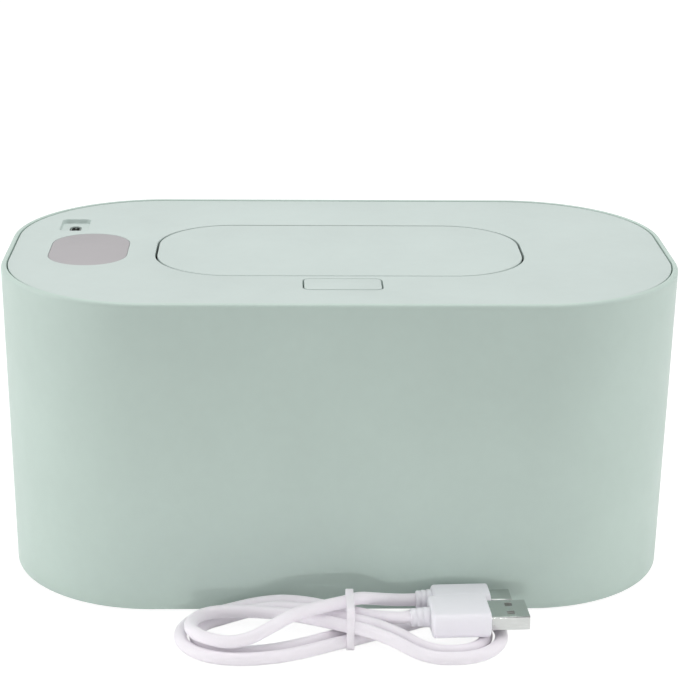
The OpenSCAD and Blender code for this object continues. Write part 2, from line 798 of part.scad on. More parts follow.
// A springy tongue under the lid's front edge; its nose catches in the guide's window.
module lid_snap_hook() color(white) {
    translate([-nose_w / 2, hook_y, nose_z]) cube([nose_w, hook_t, lid_under - hook_t - nose_z + eps]);
    translate([-nose_w / 2, hook_y, lid_under - hook_t]) cube([nose_w, hook_foot, hook_t]);
    side_view(-nose_w / 2, nose_w / 2) polygon([[hook_y + eps, nose_z + nose_t],
        [guide_back - guide_wall - 0.1, nose_z + nose_t], [hook_y + eps, nose_z]]);
}

// ---- button ----
stem_w = 15;
stem_z = plate_z - 5.2;
stem_front = button_y - button_d / 2 + 1.2;
stem_back = guide_back - guide_wall - 0.3;
button_spring_d = 4.4;

module release_button() color(mint_top) difference() {
    union() {
        translate([0, button_y, 0]) slab(button_w, button_d, button_r, plate_z - 0.4, top_z);
        translate([-button_w / 2 - button_lip, button_y - button_d / 2 + 0.6, plate_z - 1.6])
            cube([button_w + 2 * button_lip, stem_back - button_y + button_d / 2 - 0.6, 1.4]);
        translate([-stem_w / 2, stem_front, stem_z])
            cube([stem_w, stem_back - stem_front, plate_z - 0.2 - stem_z]);
    }
    // Slope that pushes the lid's hook back out of its window
    side_view(-stem_w, stem_w) polygon([[stem_back + 1, stem_z - 1], [stem_back + 1, stem_z + 2.4],
        [stem_back - 2.4, stem_z - 1]]);
    translate([0, button_y, 0]) rod(button_spring_d + 1.4, stem_z - 1, plate_z - 1);
}

coil_wire = 0.6;
coil_turns = 6;
coil_z0 = pan_top + coil_wire / 2;
coil_z1 = plate_z - 1 - coil_wire / 2;

module button_spring() color(steel) translate([0, button_y, 0])
    tube([for (i = [0:10 * coil_turns]) let (a = 36 * i)
        [button_spring_d / 2 * cos(a), button_spring_d / 2 * sin(a),
            coil_z0 + (coil_z1 - coil_z0) * i / (10 * coil_turns)]], coil_wire, 6);

// ---- cable ----
// The cord is folded in a figure of eight of two and a half turns and tied at its waist, in
// front of the housing. Both ends come out to the right, into their plugs.
hank_x = 2;
hank_y = -82.2;
hank_skew = 2.6;
turns = 2.5;
rings_a_turn = 36;
tie_t = 0.5;
layer = cord_d + 0.5;
low = cord_d / 2;

// Middle line of the bundle at a turn, seen from above, and the direction to its left.
function mid(u) = [-hank_l * sin(360 * u) - hank_skew * pow(sin(360 * u), 2), hank_b * sin(720 * u)];
function mid_left(u) = let (t = unit(mid(u + 0.001) - mid(u - 0.001))) [-t[1], t[0]];
function ease(x) = let (c = min(max(x, 0), 1)) c * c * (3 - 2 * c);
// A value that eases between stops: each stop is a turn and the value there.
function glide(stops, u, i = 0) = u <= stops[i][0] ? stops[i][1] : i + 1 >= len(stops) ? stops[i][1] :
    u <= stops[i + 1][0] ? stops[i][1] + (stops[i + 1][1] - stops[i][1])
        * ease((u - stops[i][0]) / (stops[i + 1][0] - stops[i][0])) : glide(stops, u, i + 1);

// How far each run lies to the left of the bundle's middle line, in steps.
side_stops = [[0, -1], [0.51, -1], [0.63, 0], [1.51, 0], [1.63, 1], [2.12, 1], [2.3, -0.5],
    [2.36, -0.5], [2.47, 0.7]];
// Which layer each run lies in. The waist is held up by the tie that passes under it, the runs
// from back left to front right cross over the others there, and the last one crosses on top.
lift = (tie_t + 0.1) / layer;
layer_stops = concat([for (n = [0, 1]) each [[n - 0.105, 0], [n - 0.028, 1 + lift], [n + 0.055, 1 + lift],
    [n + 0.17, 0], [n + 0.42, 0], [n + 0.48, lift], [n + 0.52, lift], [n + 0.58, 0]]],
    [[1.895, 0], [1.972, 1 + lift], [2.02, 1 + lift], [2.12, 1], [2.36, 1], [2.455, 2 + lift]]);
function cord_at(u) = let (p = mid(u) + mid_left(u) * run_step * glide(side_stops, u))
    [hank_x + p[0], hank_y + p[1], low + layer * glide(layer_stops, u)];

// Plugs: where each one's collar starts, and the way it points.
plug_turn = 3;
plug_dir = [cos(plug_turn), sin(plug_turn), 0];
plug_bed = cord_d + 0.3;
usb_a_h = 8;
usb_c_h = 6.5;
a_start = [hank_x + 18.5, hank_y - 1.3, plug_bed + usb_a_h / 2];
c_start = [hank_x + 21, hank_y + 12.7, plug_bed + usb_c_h / 2];

a_tail = [a_start, a_start - plug_dir * cord_d, [hank_x + 10.2, hank_y - 0.3, 8], [hank_x + 6.1, hank_y + 1.9, 7.4]];
c_tail = [[hank_x + 3, hank_y + 5.7, 11.4], [hank_x + 7.4, hank_y + 8.8, 9.8], [hank_x + 12, hank_y + 11.3, 8.3],
    c_start - plug_dir * cord_d, c_start];
cord_path = concat(a_tail, [for (i = [0:turns * rings_a_turn]) cord_at(i / rings_a_turn)], c_tail);

// Checks on the cord: its length, and its least gap to itself.
function span(p, a, b) = a >= b ? 0 : norm(p[a + 1] - p[a]) + span(p, a + 1, b);
cord_length = span(cord_path, 0, len(cord_path) - 1);
function close(p, i, j) = let (n = 4) min([for (s = [0:n]) for (t = [0:n])
    norm(p[i] + (p[i + 1] - p[i]) * s / n - p[j] - (p[j + 1] - p[j]) * t / n)]);
near_pairs = [for (i = [0:len(cord_path) - 8]) for (j = [i + 6:len(cord_path) - 2])
    if (norm(cord_path[i] - cord_path[j]) < 3 * cord_d) [close(cord_path, i, j), i, j]];
least = min([for (q = near_pairs) q[0]]);
echo(cord_length = cord_length, least_gap = least - cord_d,
    at = [for (q = near_pairs) if (q[0] < cord_d + 0.4) q]);

module cable_hank() color(cord_white) tube(cord_path, cord_d, 6);

tie_w = 2.4;
tie_r = 2.6;
bundle_w = 2 * run_step + cord_d * 1.6 + 0.6;
bundle_h = 3 * layer - 0.3;

// A flat band round the waist, with its tail pressed to the side.
module cable_tie() color(cord_white) translate([hank_x - tie_w / 2, hank_y, 0]) rotate([90, 0, 90])
    linear_extrude(tie_w) translate([0, bundle_h / 2 + tie_t]) difference() {
        rounded(bundle_w + 2 * tie_t, bundle_h + 2 * tie_t, tie_r);
        rounded(bundle_w, bundle_h, tie_r - tie_t);
    }

// A plug's own frame: X along the plug, Z up, from the start of its collar.
module plug_frame(start) {
    translate(start) rotate(plug_turn) children();
}

// A bar along X with rounded edges, centred on the axis.
module bar(x0, x1, w, h, r) {
    translate([x0, 0, 0]) rotate([90, 0, 90]) linear_extrude(x1 - x0) rounded(w, h, r);
}

usb_a_collar = 6;
usb_a_len = 18;
usb_a_w = 16;
shell_a_w = 12;
shell_a_h = 4.5;
shell_a_len = 12;
usb_c_collar = 5;
usb_c_len = 18;
usb_c_w = 11;
shell_c_w = 8.3;
shell_c_h = 2.5;
shell_c_len = 6.7;

module moulding(collar, length, w, h, r) {
    rotate([0, 90, 0]) cylinder(d1 = cord_d + 1.2, d2 = cord_d + 1.8, h = collar + eps);
    bar(collar, collar + length, w, h, r);
}

module usb_a_moulding() color(cord_white)
    plug_frame(a_start) moulding(usb_a_collar, usb_a_len, usb_a_w, usb_a_h, 2);

module usb_a_shell() color(steel) plug_frame(a_start) translate([usb_a_collar + usb_a_len, 0, 0])
    difference() {
        bar(0, shell_a_len, shell_a_w, shell_a_h, 0.4);
        bar(0.5, shell_a_len + 1, shell_a_w - 0.7, shell_a_h - 0.7, 0.2);
        // Two square windows in each broad face
        for (s = [-1, 1]) block(6.5, s * 2.8, 2.2, 2.2, -shell_a_h, shell_a_h);
    }

module usb_a_tongue() color([0.9, 0.9, 0.9]) plug_frame(a_start) translate([usb_a_collar + usb_a_len, 0, 0])
    translate([0.6, -(shell_a_w - 1) / 2, -shell_a_h / 2 + 0.4])
        cube([shell_a_len - 1.4, shell_a_w - 1, 1.7]);

module usb_c_moulding() color(cord_white)
    plug_frame(c_start) moulding(usb_c_collar, usb_c_len, usb_c_w, usb_c_h, 2.4);

module usb_c_shell() color(steel) plug_frame(c_start) translate([usb_c_collar + usb_c_len, 0, 0])
    difference() {
        bar(0, shell_c_len, shell_c_w, shell_c_h, shell_c_h / 2 - eps);
        bar(0.5, shell_c_len + 1, shell_c_w - 0.6, shell_c_h - 0.6, (shell_c_h - 0.6) / 2 - eps);
    }

module usb_c_tongue() color([0.15, 0.15, 0.16]) plug_frame(c_start)
    translate([usb_c_collar + usb_c_len + 0.5, 0, 0]) difference() {
        bar(0, shell_c_len - 1.6, shell_c_w - 0.9, shell_c_h - 0.9, (shell_c_h - 0.9) / 2 - eps);
        bar(1, shell_c_len, shell_c_w - 1.9, 0.9, 0.3);
    }

outer_shell();
base_cover();
base_screws();
rubber_feet();
inner_tank();
insulation_wrap();
top_cover();
cover_pan();
cover_screws();
cover_gasket();
dispensing_mouth();
heater_plate();
heater_film();
heater_screws();
temperature_sensor();
heater_leads();
control_board();
board_components();
board_screws();
display_module();
display_window();
usb_socket();
lid_hinge_axle();
lid_spring();
flip_lid();
lid_inner_panel();
lid_seal();
lid_snap_hook();
release_button();
button_spring();
cable_hank();
cable_tie();
usb_a_moulding();
usb_a_shell();
usb_a_tongue();
usb_c_moulding();
usb_c_shell();
usb_c_tongue();
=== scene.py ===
import math
import bmesh
import bpy
import numpy as np
from mathutils import Matrix, Vector
from mathutils.geometry import delaunay_2d_cdt


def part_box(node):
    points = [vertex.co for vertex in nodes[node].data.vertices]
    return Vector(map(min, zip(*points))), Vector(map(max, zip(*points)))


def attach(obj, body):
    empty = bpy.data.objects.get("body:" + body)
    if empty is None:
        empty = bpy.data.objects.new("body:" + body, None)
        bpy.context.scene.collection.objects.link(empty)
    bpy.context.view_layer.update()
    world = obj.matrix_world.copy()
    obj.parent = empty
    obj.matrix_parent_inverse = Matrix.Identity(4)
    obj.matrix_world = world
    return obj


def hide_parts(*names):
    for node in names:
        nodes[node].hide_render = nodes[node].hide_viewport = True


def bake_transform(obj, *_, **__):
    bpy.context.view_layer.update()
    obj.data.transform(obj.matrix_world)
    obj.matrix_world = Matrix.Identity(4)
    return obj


# Baby wipe warmer, in the CAD frame. Sizes are in millimetres, times mm where metres are wanted.
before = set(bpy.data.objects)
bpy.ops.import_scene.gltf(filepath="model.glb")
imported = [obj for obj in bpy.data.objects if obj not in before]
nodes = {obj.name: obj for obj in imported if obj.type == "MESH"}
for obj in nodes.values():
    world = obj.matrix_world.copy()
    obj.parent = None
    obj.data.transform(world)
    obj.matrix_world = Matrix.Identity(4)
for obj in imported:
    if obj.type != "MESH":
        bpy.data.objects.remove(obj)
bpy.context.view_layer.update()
mm = 0.001  # one millimetre in metres
print("frame loaded:", len(nodes), "nodes")


def linked(name, data):
    # a new object for its data, in the scene's own collection
    made = bpy.data.objects.new(name, data)
    bpy.context.scene.collection.objects.link(made)
    return made


# fitted to the outline in the photograph; angles in degrees, near in metres
cameraLook = {"focal": 105.98, "sensor": 36, "near": 0.01, "place": (-19.0, -636.5, 282.1),
    "pitch": 18.434, "yaw": 1.76, "roll": 0.646}


def aimCamera(look):
    # forward turned by yaw about Z and then down by pitch; right and up turned about it by roll
    pitch, yaw, roll = (math.radians(look[k]) for k in ("pitch", "yaw", "roll"))
    forward = Vector((math.sin(yaw) * math.cos(pitch), math.cos(yaw) * math.cos(pitch), -math.sin(pitch)))
    level = Vector((math.cos(yaw), -math.sin(yaw), 0))
    upright = level.cross(forward)
    right = level * math.cos(roll) + upright * math.sin(roll)
    up = upright * math.cos(roll) - level * math.sin(roll)
    data = bpy.data.cameras.new("camera")
    data.lens = look["focal"]
    data.sensor_width = look["sensor"]
    data.clip_start = look["near"]
    camera = linked("camera", data)
    turn = Matrix((right, up, -forward)).transposed().to_4x4()
    camera.matrix_world = Matrix.Translation(Vector(look["place"]) * mm) @ turn
    bpy.context.scene.camera = camera


aimCamera(cameraLook)

# merge, weld and near in millimetres, flat and sharp in degrees
meshing = {"merge": 0.002, "weld": 0.02, "near": 1e-6, "flat": 0.5, "sharp": 40, "segments": 2}
slotted = []  # each new piece with its slot, whose finish it gets


def addPiece(name, mesh, body, slot, replaced):
    # a smooth object in place of a imported node, attached to its body where it has one
    mesh.polygons.foreach_set("use_smooth", np.full(len(mesh.polygons), True))
    piece = linked(name, mesh)
    if body:
        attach(piece, body)
    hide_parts(replaced)
    slotted.append((piece, slot))
    return piece


def addMesh(name, shape, body, slot, replaced):
    # a shape is its points in millimetres and its faces, each a list of point numbers
    points, faces = shape
    mesh = bpy.data.meshes.new(name)
    mesh.from_pydata(points * mm, [], faces)
    mesh.validate()
    mesh.update()
    return addPiece(name, mesh, body, slot, replaced)


def weldMesh(piece):
    # joins points that meet and turns all faces outwards
    shape = bmesh.new()
    shape.from_mesh(piece.data)
    bmesh.ops.remove_doubles(shape, verts=shape.verts, dist=meshing["weld"] * mm)
    bmesh.ops.recalc_face_normals(shape, faces=shape.faces)
    shape.to_mesh(piece.data)
    shape.free()


def stripFaces(rows, columns, closeRows=False, flip=False):
    # quads between neighbouring rows of a grid whose columns run round a closed loop
    i = np.arange(rows if closeRows else rows - 1)[:, None]
    j = np.arange(columns)[None, :]
    down, across = (i + 1) % rows, (j + 1) % columns
    quads = np.stack([i * columns + j, i * columns + across, down * columns + across, down * columns + j], -1)
    return quads.reshape(-1, 4)[:, ::-1 if flip else 1].tolist()


def cappedFaces(rows, columns, flip=False):
    # the quads of a grid of loops, then one flat face over its first loop and one over its last
    first = list(range(columns))[::-1]
    last = [(rows - 1) * columns + k for k in range(columns)]
    caps = [first[::-1], last[::-1]] if flip else [first, last]
    return stripFaces(rows, columns, flip=flip) + caps


def roundedLoop(width, depth, radius, steps, centre=(0, 0)):
    # four quarter arcs about the corners' centres, anticlockwise from the right side
    within = np.tile(np.arange(steps + 1), 4) / steps
    turn = np.radians(90 * (np.repeat(np.arange(4), steps + 1) + within))
    side = np.repeat([[1, 1], [-1, 1], [-1, -1], [1, -1]], steps + 1, axis=0)
    corner = side * [width / 2 - radius, depth / 2 - radius]
    return corner + radius * np.stack([np.cos(turn), np.sin(turn)], -1) + centre


def stackLoops(levels, steps):
    # one rounded loop per level, each with its own width, depth, radius, centre and height
    rings = []
    for level in levels:
        loop = roundedLoop(level["w"], level["d"], level["r"], steps, level.get("c", (0, 0)))
        rings.append(np.column_stack([loop, np.full(len(loop), level["z"])]))
    return np.array(rings)


def grown(base, offset, z, leastRadius=0.05):
    # the same outline moved out by an offset, at a height, its corners never quite sharp
    return {"w": base["w"] + 2 * offset, "d": base["d"] + 2 * offset,
        "r": max(base["r"] + offset, leastRadius), "c": base.get("c", (0, 0)), "z": z}


def quarter(radius, steps=4):
    # insets and drops of a quarter round, from the flat face to the wall
    turn = np.radians(np.linspace(0, 90, steps + 1))
    return [(radius * (1 - math.sin(a)), radius * (1 - math.cos(a))) for a in turn]


def cutCorner(edge, cut):
    # insets and drops of a corner cut twice, from the flat face to the wall
    return [(edge, 0), (cut, cut), (0, edge)]


def closedStack(levels, steps):
    # a solid through stacked loops, from the bottom to the top, with flat ends
    rings = stackLoops(levels, steps)
    return rings.reshape(-1, 3), cappedFaces(*rings.shape[:2])


def ringStack(levels, steps):
    # a closed band: the levels go once round its cross-section, up the outside and down the inside
    rings = stackLoops(levels, steps)
    return rings.reshape(-1, 3), stripFaces(*rings.shape[:2], closeRows=True)


def carriedTube(path, radius, sides=20):
    # circles set square to a path, their side direction carried along it, with flat ends
    along = np.gradient(path, axis=0)
    along /= np.linalg.norm(along, axis=1)[:, None]
    side = np.cross(along[0], (0, 0, 1.0))
    sideways = []
    for direction in along:
        side = side - direction * side.dot(direction)
        side = side / np.linalg.norm(side)
        sideways.append(side)
    sideways = np.array(sideways)
    above = np.cross(along, sideways)
    turn = np.linspace(0, 2 * math.pi, sides, endpoint=False)
    rings = path[:, None, :] + radius * (np.cos(turn)[None, :, None] * sideways[:, None, :]
        + np.sin(turn)[None, :, None] * above[:, None, :])
    return rings.reshape(-1, 3), cappedFaces(len(path), sides, flip=True)


def smoothRoute(points, spacing, cuts=16):
    # a cubic between each two points, its slope at a point that of the line between the points on either
    # side, then cut at even lengths
    padded = np.vstack([2 * points[0] - points[1], points, 2 * points[-1] - points[-2]])
    t = np.linspace(0, 1, cuts, endpoint=False)[:, None, None]
    a, b, c, d = padded[:-3], padded[1:-2], padded[2:-1], padded[3:]
    bend, twist = 2 * a - 5 * b + 4 * c - d, 3 * b - a - 3 * c + d
    curve = 0.5 * (2 * b + (c - a) * t + bend * t ** 2 + twist * t ** 3)
    curve = np.vstack([curve.transpose(1, 0, 2).reshape(-1, 3), points[-1:]])
    run = np.concatenate([[0], np.cumsum(np.linalg.norm(np.diff(curve, axis=0), axis=1))])
    marks = np.linspace(0, run[-1], int(run[-1] / spacing) + 1)
    return np.stack([np.interp(marks, run, curve[:, k]) for k in range(3)], -1)


# The cable is folded in a figure of eight and tied at its waist, its runs a step apart. The tails are
# places from the figure's centre, and a straight lead enters each plug on a bed above the table.
cable = {"diameter": 4.0, "thinner": 0.02, "step": 4.7, "layerGap": 0.5, "halfLength": 44.6,
    "halfWidth": 11.5, "skew": 2.6, "turns": 2.5, "stops": 91, "spacing": 0.6, "centre": (2.0, -82.2),
    "plugTurn": 3.0, "plugBed": 4.3, "lead": 4, "wideTail": [(10.2, -0.3, 8), (6.1, 1.9, 7.4)],
    "narrowTail": [(3, 5.7, 11.4), (7.4, 8.8, 9.8), (12, 11.3, 8.3)]}
tie = {"thick": 0.5, "wide": 2.4, "clear": 0.1, "sideRoom": 3.0, "pressed": 0.3, "corner": 2.1, "edge": 0.2,
    "edgeCut": 0.15, "steps": 10}
widePlug = {"at": (18.5, -1.3), "collar": 6, "length": 18, "width": 16, "height": 8, "radius": 2}
narrowPlug = {"at": (21, 12.7), "collar": 5, "length": 18, "width": 11, "height": 6.5, "radius": 2.4}

layerHeight = cable["diameter"] + cable["layerGap"]
tieLift = (tie["thick"] + tie["clear"]) / layerHeight  # in layers
overTie = 1 + tieLift
hankCentre = np.array([*cable["centre"], 0.0])
plugTurn = math.radians(cable["plugTurn"])
plugAhead = np.array([math.cos(plugTurn), math.sin(plugTurn), 0])
plugLeft = np.array([-math.sin(plugTurn), math.cos(plugTurn), 0])

# (turns along the figure, steps to the left of its line)
sideStops = [(0, -1), (0.51, -1), (0.63, 0), (1.51, 0), (1.63, 1), (2.12, 1), (2.3, -0.5), (2.36, -0.5),
    (2.47, 0.7)]
# (turns along the figure, layers up): two turns alike, then the last half turn over them
turnStops = [(-0.105, 0), (-0.028, overTie), (0.055, overTie), (0.17, 0), (0.42, 0), (0.48, tieLift),
    (0.52, tieLift), (0.58, 0)]
layerStops = [(n + u, layer) for n in (0, 1) for u, layer in turnStops]
layerStops += [(1.895, 0), (1.972, overTie), (2.02, overTie), (2.12, 1), (2.36, 1), (2.455, 2 + tieLift)]


def glide(stops, u):
    # smoothstep between neighbouring stops, level before the first and after the last
    place, value = np.array(stops).T
    k = np.clip(np.searchsorted(place, u) - 1, 0, len(place) - 2)
    x = np.clip((u - place[k]) / (place[k + 1] - place[k]), 0, 1)
    return value[k] + (value[k + 1] - value[k]) * x * x * (3 - 2 * x)


def hankLine(u):
    # a figure of eight: one sine along it and one of twice the rate across it, skewed at the ends
    swing = np.sin(2 * math.pi * u)
    return np.stack([-cable["halfLength"] * swing - cable["skew"] * swing ** 2,
        cable["halfWidth"] * np.sin(4 * math.pi * u)], -1)


def plugStart(plug):
    # where the cord enters a plug: its place from the hank's centre, half its height above the bed
    return hankCentre + [*plug["at"], cable["plugBed"] + plug["height"] / 2]


def cordRoute(wideStart, narrowStart, tiny=0.001):
    # runs beside the figure's line by the side stops, at the heights of the layer stops, between the tails
    u = np.linspace(0, cable["turns"], cable["stops"])
    ahead = hankLine(u + tiny) - hankLine(u - tiny)
    ahead /= np.linalg.norm(ahead, axis=1)[:, None]
    left = np.stack([-ahead[:, 1], ahead[:, 0]], -1)
    flat = hankLine(u) + left * (cable["step"] * glide(sideStops, u))[:, None] + cable["centre"]
    runs = np.column_stack([flat, cable["diameter"] / 2 + layerHeight * glide(layerStops, u)])
    lead = plugAhead * cable["lead"]
    points = np.vstack([wideStart, wideStart - lead, hankCentre + cable["wideTail"], runs,
        hankCentre + cable["narrowTail"], narrowStart - lead, narrowStart])
    path = smoothRoute(points, cable["spacing"])
    path[:, 2] = np.maximum(path[:, 2], cable["diameter"] / 2)
    return path


wideStart, narrowStart = plugStart(widePlug), plugStart(narrowPlug)
route = cordRoute(wideStart, narrowStart)
cordShape = carriedTube(route, cable["diameter"] / 2 - cable["thinner"])
cordPiece = addMesh("chargingCord", cordShape, "housing", "cord_jacket", "cable_hank")


def tieBand():
    # a rounded rectangle round the waist, carried round a band's cross-section with cut edges
    thick, half = tie["thick"], tie["wide"] / 2
    near, low, high = half - tie["edge"], tie["edgeCut"], thick - tie["edgeCut"]
    w = 2 * cable["step"] + cable["diameter"] + tie["sideRoom"]
    h = 3 * layerHeight - tie["pressed"]
    x, y = cable["centre"]
    section = [(-near, 0), (near, 0), (half, low), (half, high), (near, thick), (-near, thick), (-half, high),
        (-half, low)]
    rings = []
    for along, out in section:
        loop = roundedLoop(w + 2 * out, h + 2 * out, tie["corner"] + out, tie["steps"])
        across, up = y + loop[:, 0], h / 2 + thick + loop[:, 1]
        rings.append(np.column_stack([np.full(len(loop), x + along), across, up]))
    rings = np.array(rings)
    return rings.reshape(-1, 3), stripFaces(*rings.shape[:2], closeRows=True, flip=True)


tiePiece = addMesh("cableTie", tieBand(), "housing", "cord_jacket", "cable_tie")

# the plugs' collars and rounded ends; cornerShare is how fast the corners sharpen over a rounded end, and
# sliver keeps a corner short of a half circle
grip = {"jacket": cable["diameter"] + 1.0, "lead": 0.15, "leadGrow": 0.3, "rings": 3, "start": 0.2,
    "end": 0.25, "over": 0.5, "grow": 0.35, "flare": 0.1, "nick": 0.06, "neck": 0.15, "shoulder": 1.1,
    "nose": 0.7, "roundSteps": 5, "cornerShare": 0.4, "sliver": 0.01, "steps": 8}


def plugSections(plug):
    # place, width, height and corner radius: a round stepped collar, then quarter rounds at both ends
    collar, jacket = plug["collar"], grip["jacket"]
    rounds = [(0, jacket), (grip["lead"], jacket + grip["leadGrow"])]
    for k in range(grip["rings"]):
        low = grip["start"] + k * collar / grip["rings"]
        high = (k + 1) * collar / grip["rings"] - grip["end"]
        size = jacket + grip["over"] + grip["grow"] * k
        rounds += [(low, size), (high, size + grip["flare"]), (high + grip["nick"], size - grip["neck"])]
    tip, steps = collar + plug["length"], grip["roundSteps"]
    ends = [(collar + d, i) for i, d in quarter(grip["shoulder"], steps)]
    ends += [(tip - d, i) for i, d in quarter(grip["nose"], steps)[::-1]]
    sections = [(place, size, size, size / 2) for place, size in rounds]
    return sections + [(place, plug["width"] - 2 * i, plug["height"] - 2 * i,
        plug["radius"] - i * grip["cornerShare"]) for place, i in ends]


def plugMoulding(plug, start):
    # the plug's sections as rounded rectangles, set square to its own axis
    rings = []
    for place, width, height, radius in plugSections(plug):
        radius = min(radius, height / 2 - grip["sliver"], width / 2 - grip["sliver"])
        loop = roundedLoop(width, height, radius, grip["steps"])
        rings.append(start + plugAhead * place + plugLeft * loop[:, :1] + np.array([0, 0, 1.0]) * loop[:, 1:])
    rings = np.array(rings)
    return rings.reshape(-1, 3), cappedFaces(*rings.shape[:2], flip=True)


wideShape, narrowShape = plugMoulding(widePlug, wideStart), plugMoulding(narrowPlug, narrowStart)
widePlugPiece = addMesh("widePlugMoulding", wideShape, "housing", "plug_plastic", "usb_a_moulding")
narrowPlugPiece = addMesh("narrowPlugMoulding", narrowShape, "housing", "plug_plastic", "usb_c_moulding")
print("cable made")

# the draft is the lean from rim to foot; rows has the outer levels' start above the foot, their end below
# the rim's round and their count
housing = {"width": 218.0, "depth": 127.4, "height": 102.2, "corner": 49.3, "draft": 1.7, "wall": 1.8,
    "foot": 0.6, "footEdge": 0.4, "footCut": 0.12, "rimRound": 1.3, "rimSteps": 8, "rimInnerRound": 0.45,
    "rimInnerSteps": 5, "rows": (2, 1, 24), "insideRows": (86, 60, 30), "insideGap": 0.01, "steps": 48}
boss = {"wide": 6.4, "low": 3.0, "high": 19.0, "pilot": 2.5, "sunk": 0.3}
rib = {"deep": 2.7, "fromWall": 0.7, "wide": 2, "low": 23, "high": 82.3, "edge": 0.2,
    "angles": (15, 72, 108, 165, 195, 252, 288, 345)}
cornerX, cornerY = (housing[k] / 2 - housing["corner"] for k in ("width", "depth"))


def rimLoop(inset, z):
    # the rim's outline moved in by an inset
    return {"w": housing["width"] - 2 * inset, "d": housing["depth"] - 2 * inset,
        "r": housing["corner"] - inset, "z": z}


def leanAt(z):
    # how far the drafted wall stands in from the rim's outline at a height
    return housing["draft"] * (housing["height"] - z) / (housing["height"] - housing["foot"])


def shellLevels():
    # up the outside from the base edge, over the rounded rim and down the inside
    top, foot, wall, draft = (housing[k] for k in ("height", "foot", "wall", "draft"))
    levels = [rimLoop(draft + i, foot + d) for i, d in cutCorner(housing["footEdge"], housing["footCut"])]
    above, below, count = housing["rows"]
    outside = np.linspace(foot + above, top - housing["rimRound"] - below, count)
    levels += [rimLoop(leanAt(z), z) for z in outside]
    outer = quarter(housing["rimRound"], housing["rimSteps"])
    inner = quarter(housing["rimInnerRound"], housing["rimInnerSteps"])
    levels += [rimLoop(i, top - d) for i, d in outer[::-1]]
    levels += [rimLoop(wall - i, top - d) for i, d in inner]
    inside = (*housing["insideRows"], foot + housing["insideGap"])
    return levels + [rimLoop(wall + leanAt(z), z) for z in inside]


def joined(parts):
    # several shapes in one list of points and faces
    points, faces, start = [], [], 0
    for shape, polygons in parts:
        points.append(shape)
        faces += [[start + k for k in polygon] for polygon in polygons]
        start += len(shape)
    return np.vstack(points), faces


def hollowRod(x, y, outer, inner, low, high, sides=28):
    # a ring's cross-section carried once round a vertical axis
    turn = np.linspace(0, 2 * math.pi, sides, endpoint=False)
    circle = np.stack([np.cos(turn), np.sin(turn)], -1)
    section = [(outer, low), (outer, high), (inner, high), (inner, low)]
    rings = np.array([np.column_stack([(x, y) + r * circle, np.full(sides, z)]) for r, z in section])
    return rings.reshape(-1, 3), stripFaces(len(section), sides, closeRows=True)


def roundedBlock(centre, size, edge, turn=0.0, cutShare=0.3, leastRadius=0.02, steps=3):
    # a block with a small round on every edge: a rounded outline at six heights
    w, d, h = size
    e = min(edge, w / 3, d / 3, h / 3)
    corner = cutCorner(e, e * cutShare)
    rows = [(i, drop - h / 2) for i, drop in corner] + [(i, h / 2 - drop) for i, drop in corner[::-1]]
    levels = [{"w": w - 2 * i, "d": d - 2 * i, "r": max(e - i, leastRadius), "z": z} for i, z in rows]
    points, faces = closedStack(levels, steps)
    c, s = math.cos(turn), math.sin(turn)
    return points @ np.array([[c, s, 0], [-s, c, 0], [0, 0, 1]]) + centre, faces


def sideShape(outline, low, high):
    # an outline drawn in the side view, Y and Z, pushed out along X
    ends = [np.column_stack([np.full(len(outline), x), outline]) for x in (low, high)]
    return np.vstack(ends), cappedFaces(2, len(outline))


def bossPlaces():
    # one boss in each corner, along its diagonal, and one in the middle of front and back
    inset = leanAt(boss["low"]) + housing["wall"] + boss["wide"] / 2 - boss["sunk"]
    reach = (housing["corner"] - inset) * math.sqrt(0.5)
    places = [(sx * (cornerX + reach), sy * (cornerY + reach)) for sx in (-1, 1) for sy in (-1, 1)]
    return places + [(0, housing["depth"] / 2 - inset), (0, inset - housing["depth"] / 2)]


def shellRibs():
    # thin upright ribs inside the corners, under the liner's flange, on rays from the corners' centres
    middle = housing["corner"] - housing["wall"] - rib["fromWall"] - rib["deep"] / 2
    parts = []
    for turn in np.radians(rib["angles"]):
        x = math.copysign(cornerX, math.cos(turn)) + middle * math.cos(turn)
        y = math.copysign(cornerY, math.sin(turn)) + middle * math.sin(turn)
        size = (rib["deep"], rib["wide"], rib["high"] - rib["low"])
        parts.append(roundedBlock((x, y, (rib["low"] + rib["high"]) / 2), size, rib["edge"], turn))
    return parts


bosses = [hollowRod(x, y, boss["wide"] / 2, boss["pilot"] / 2, boss["low"], boss["high"])
    for x, y in bossPlaces()]
shellShape = joined([ringStack(shellLevels(), housing["steps"])] + bosses + shellRibs())
shellPiece = addMesh("housingShell", shellShape, "housing", "mint_plastic", "outer_shell")

# the liner hangs from its flange; topIn is its inner wall's inset at leanTop, from where it leans in
liner = {"topIn": 8.8, "leanTop": 83.3, "lean": 3.3, "wall": 2.0, "floor": 7.0, "fillet": 6.0,
    "filletSteps": 9, "flangeTop": 84.3, "flange": 2.0, "flangeGap": 0.3, "edge": 0.3, "edgeCut": 0.08,
    "lip": 0.7, "lipSteps": 6, "rows": (30, 60), "steps": 40}


def linerWall(wall, z):
    # the liner's straight wall: its inset grows evenly from leanTop down to the floor's fillet
    share = (liner["leanTop"] - z) / (liner["leanTop"] - liner["floor"] - liner["fillet"])
    return liner["topIn"] + wall + liner["lean"] * share


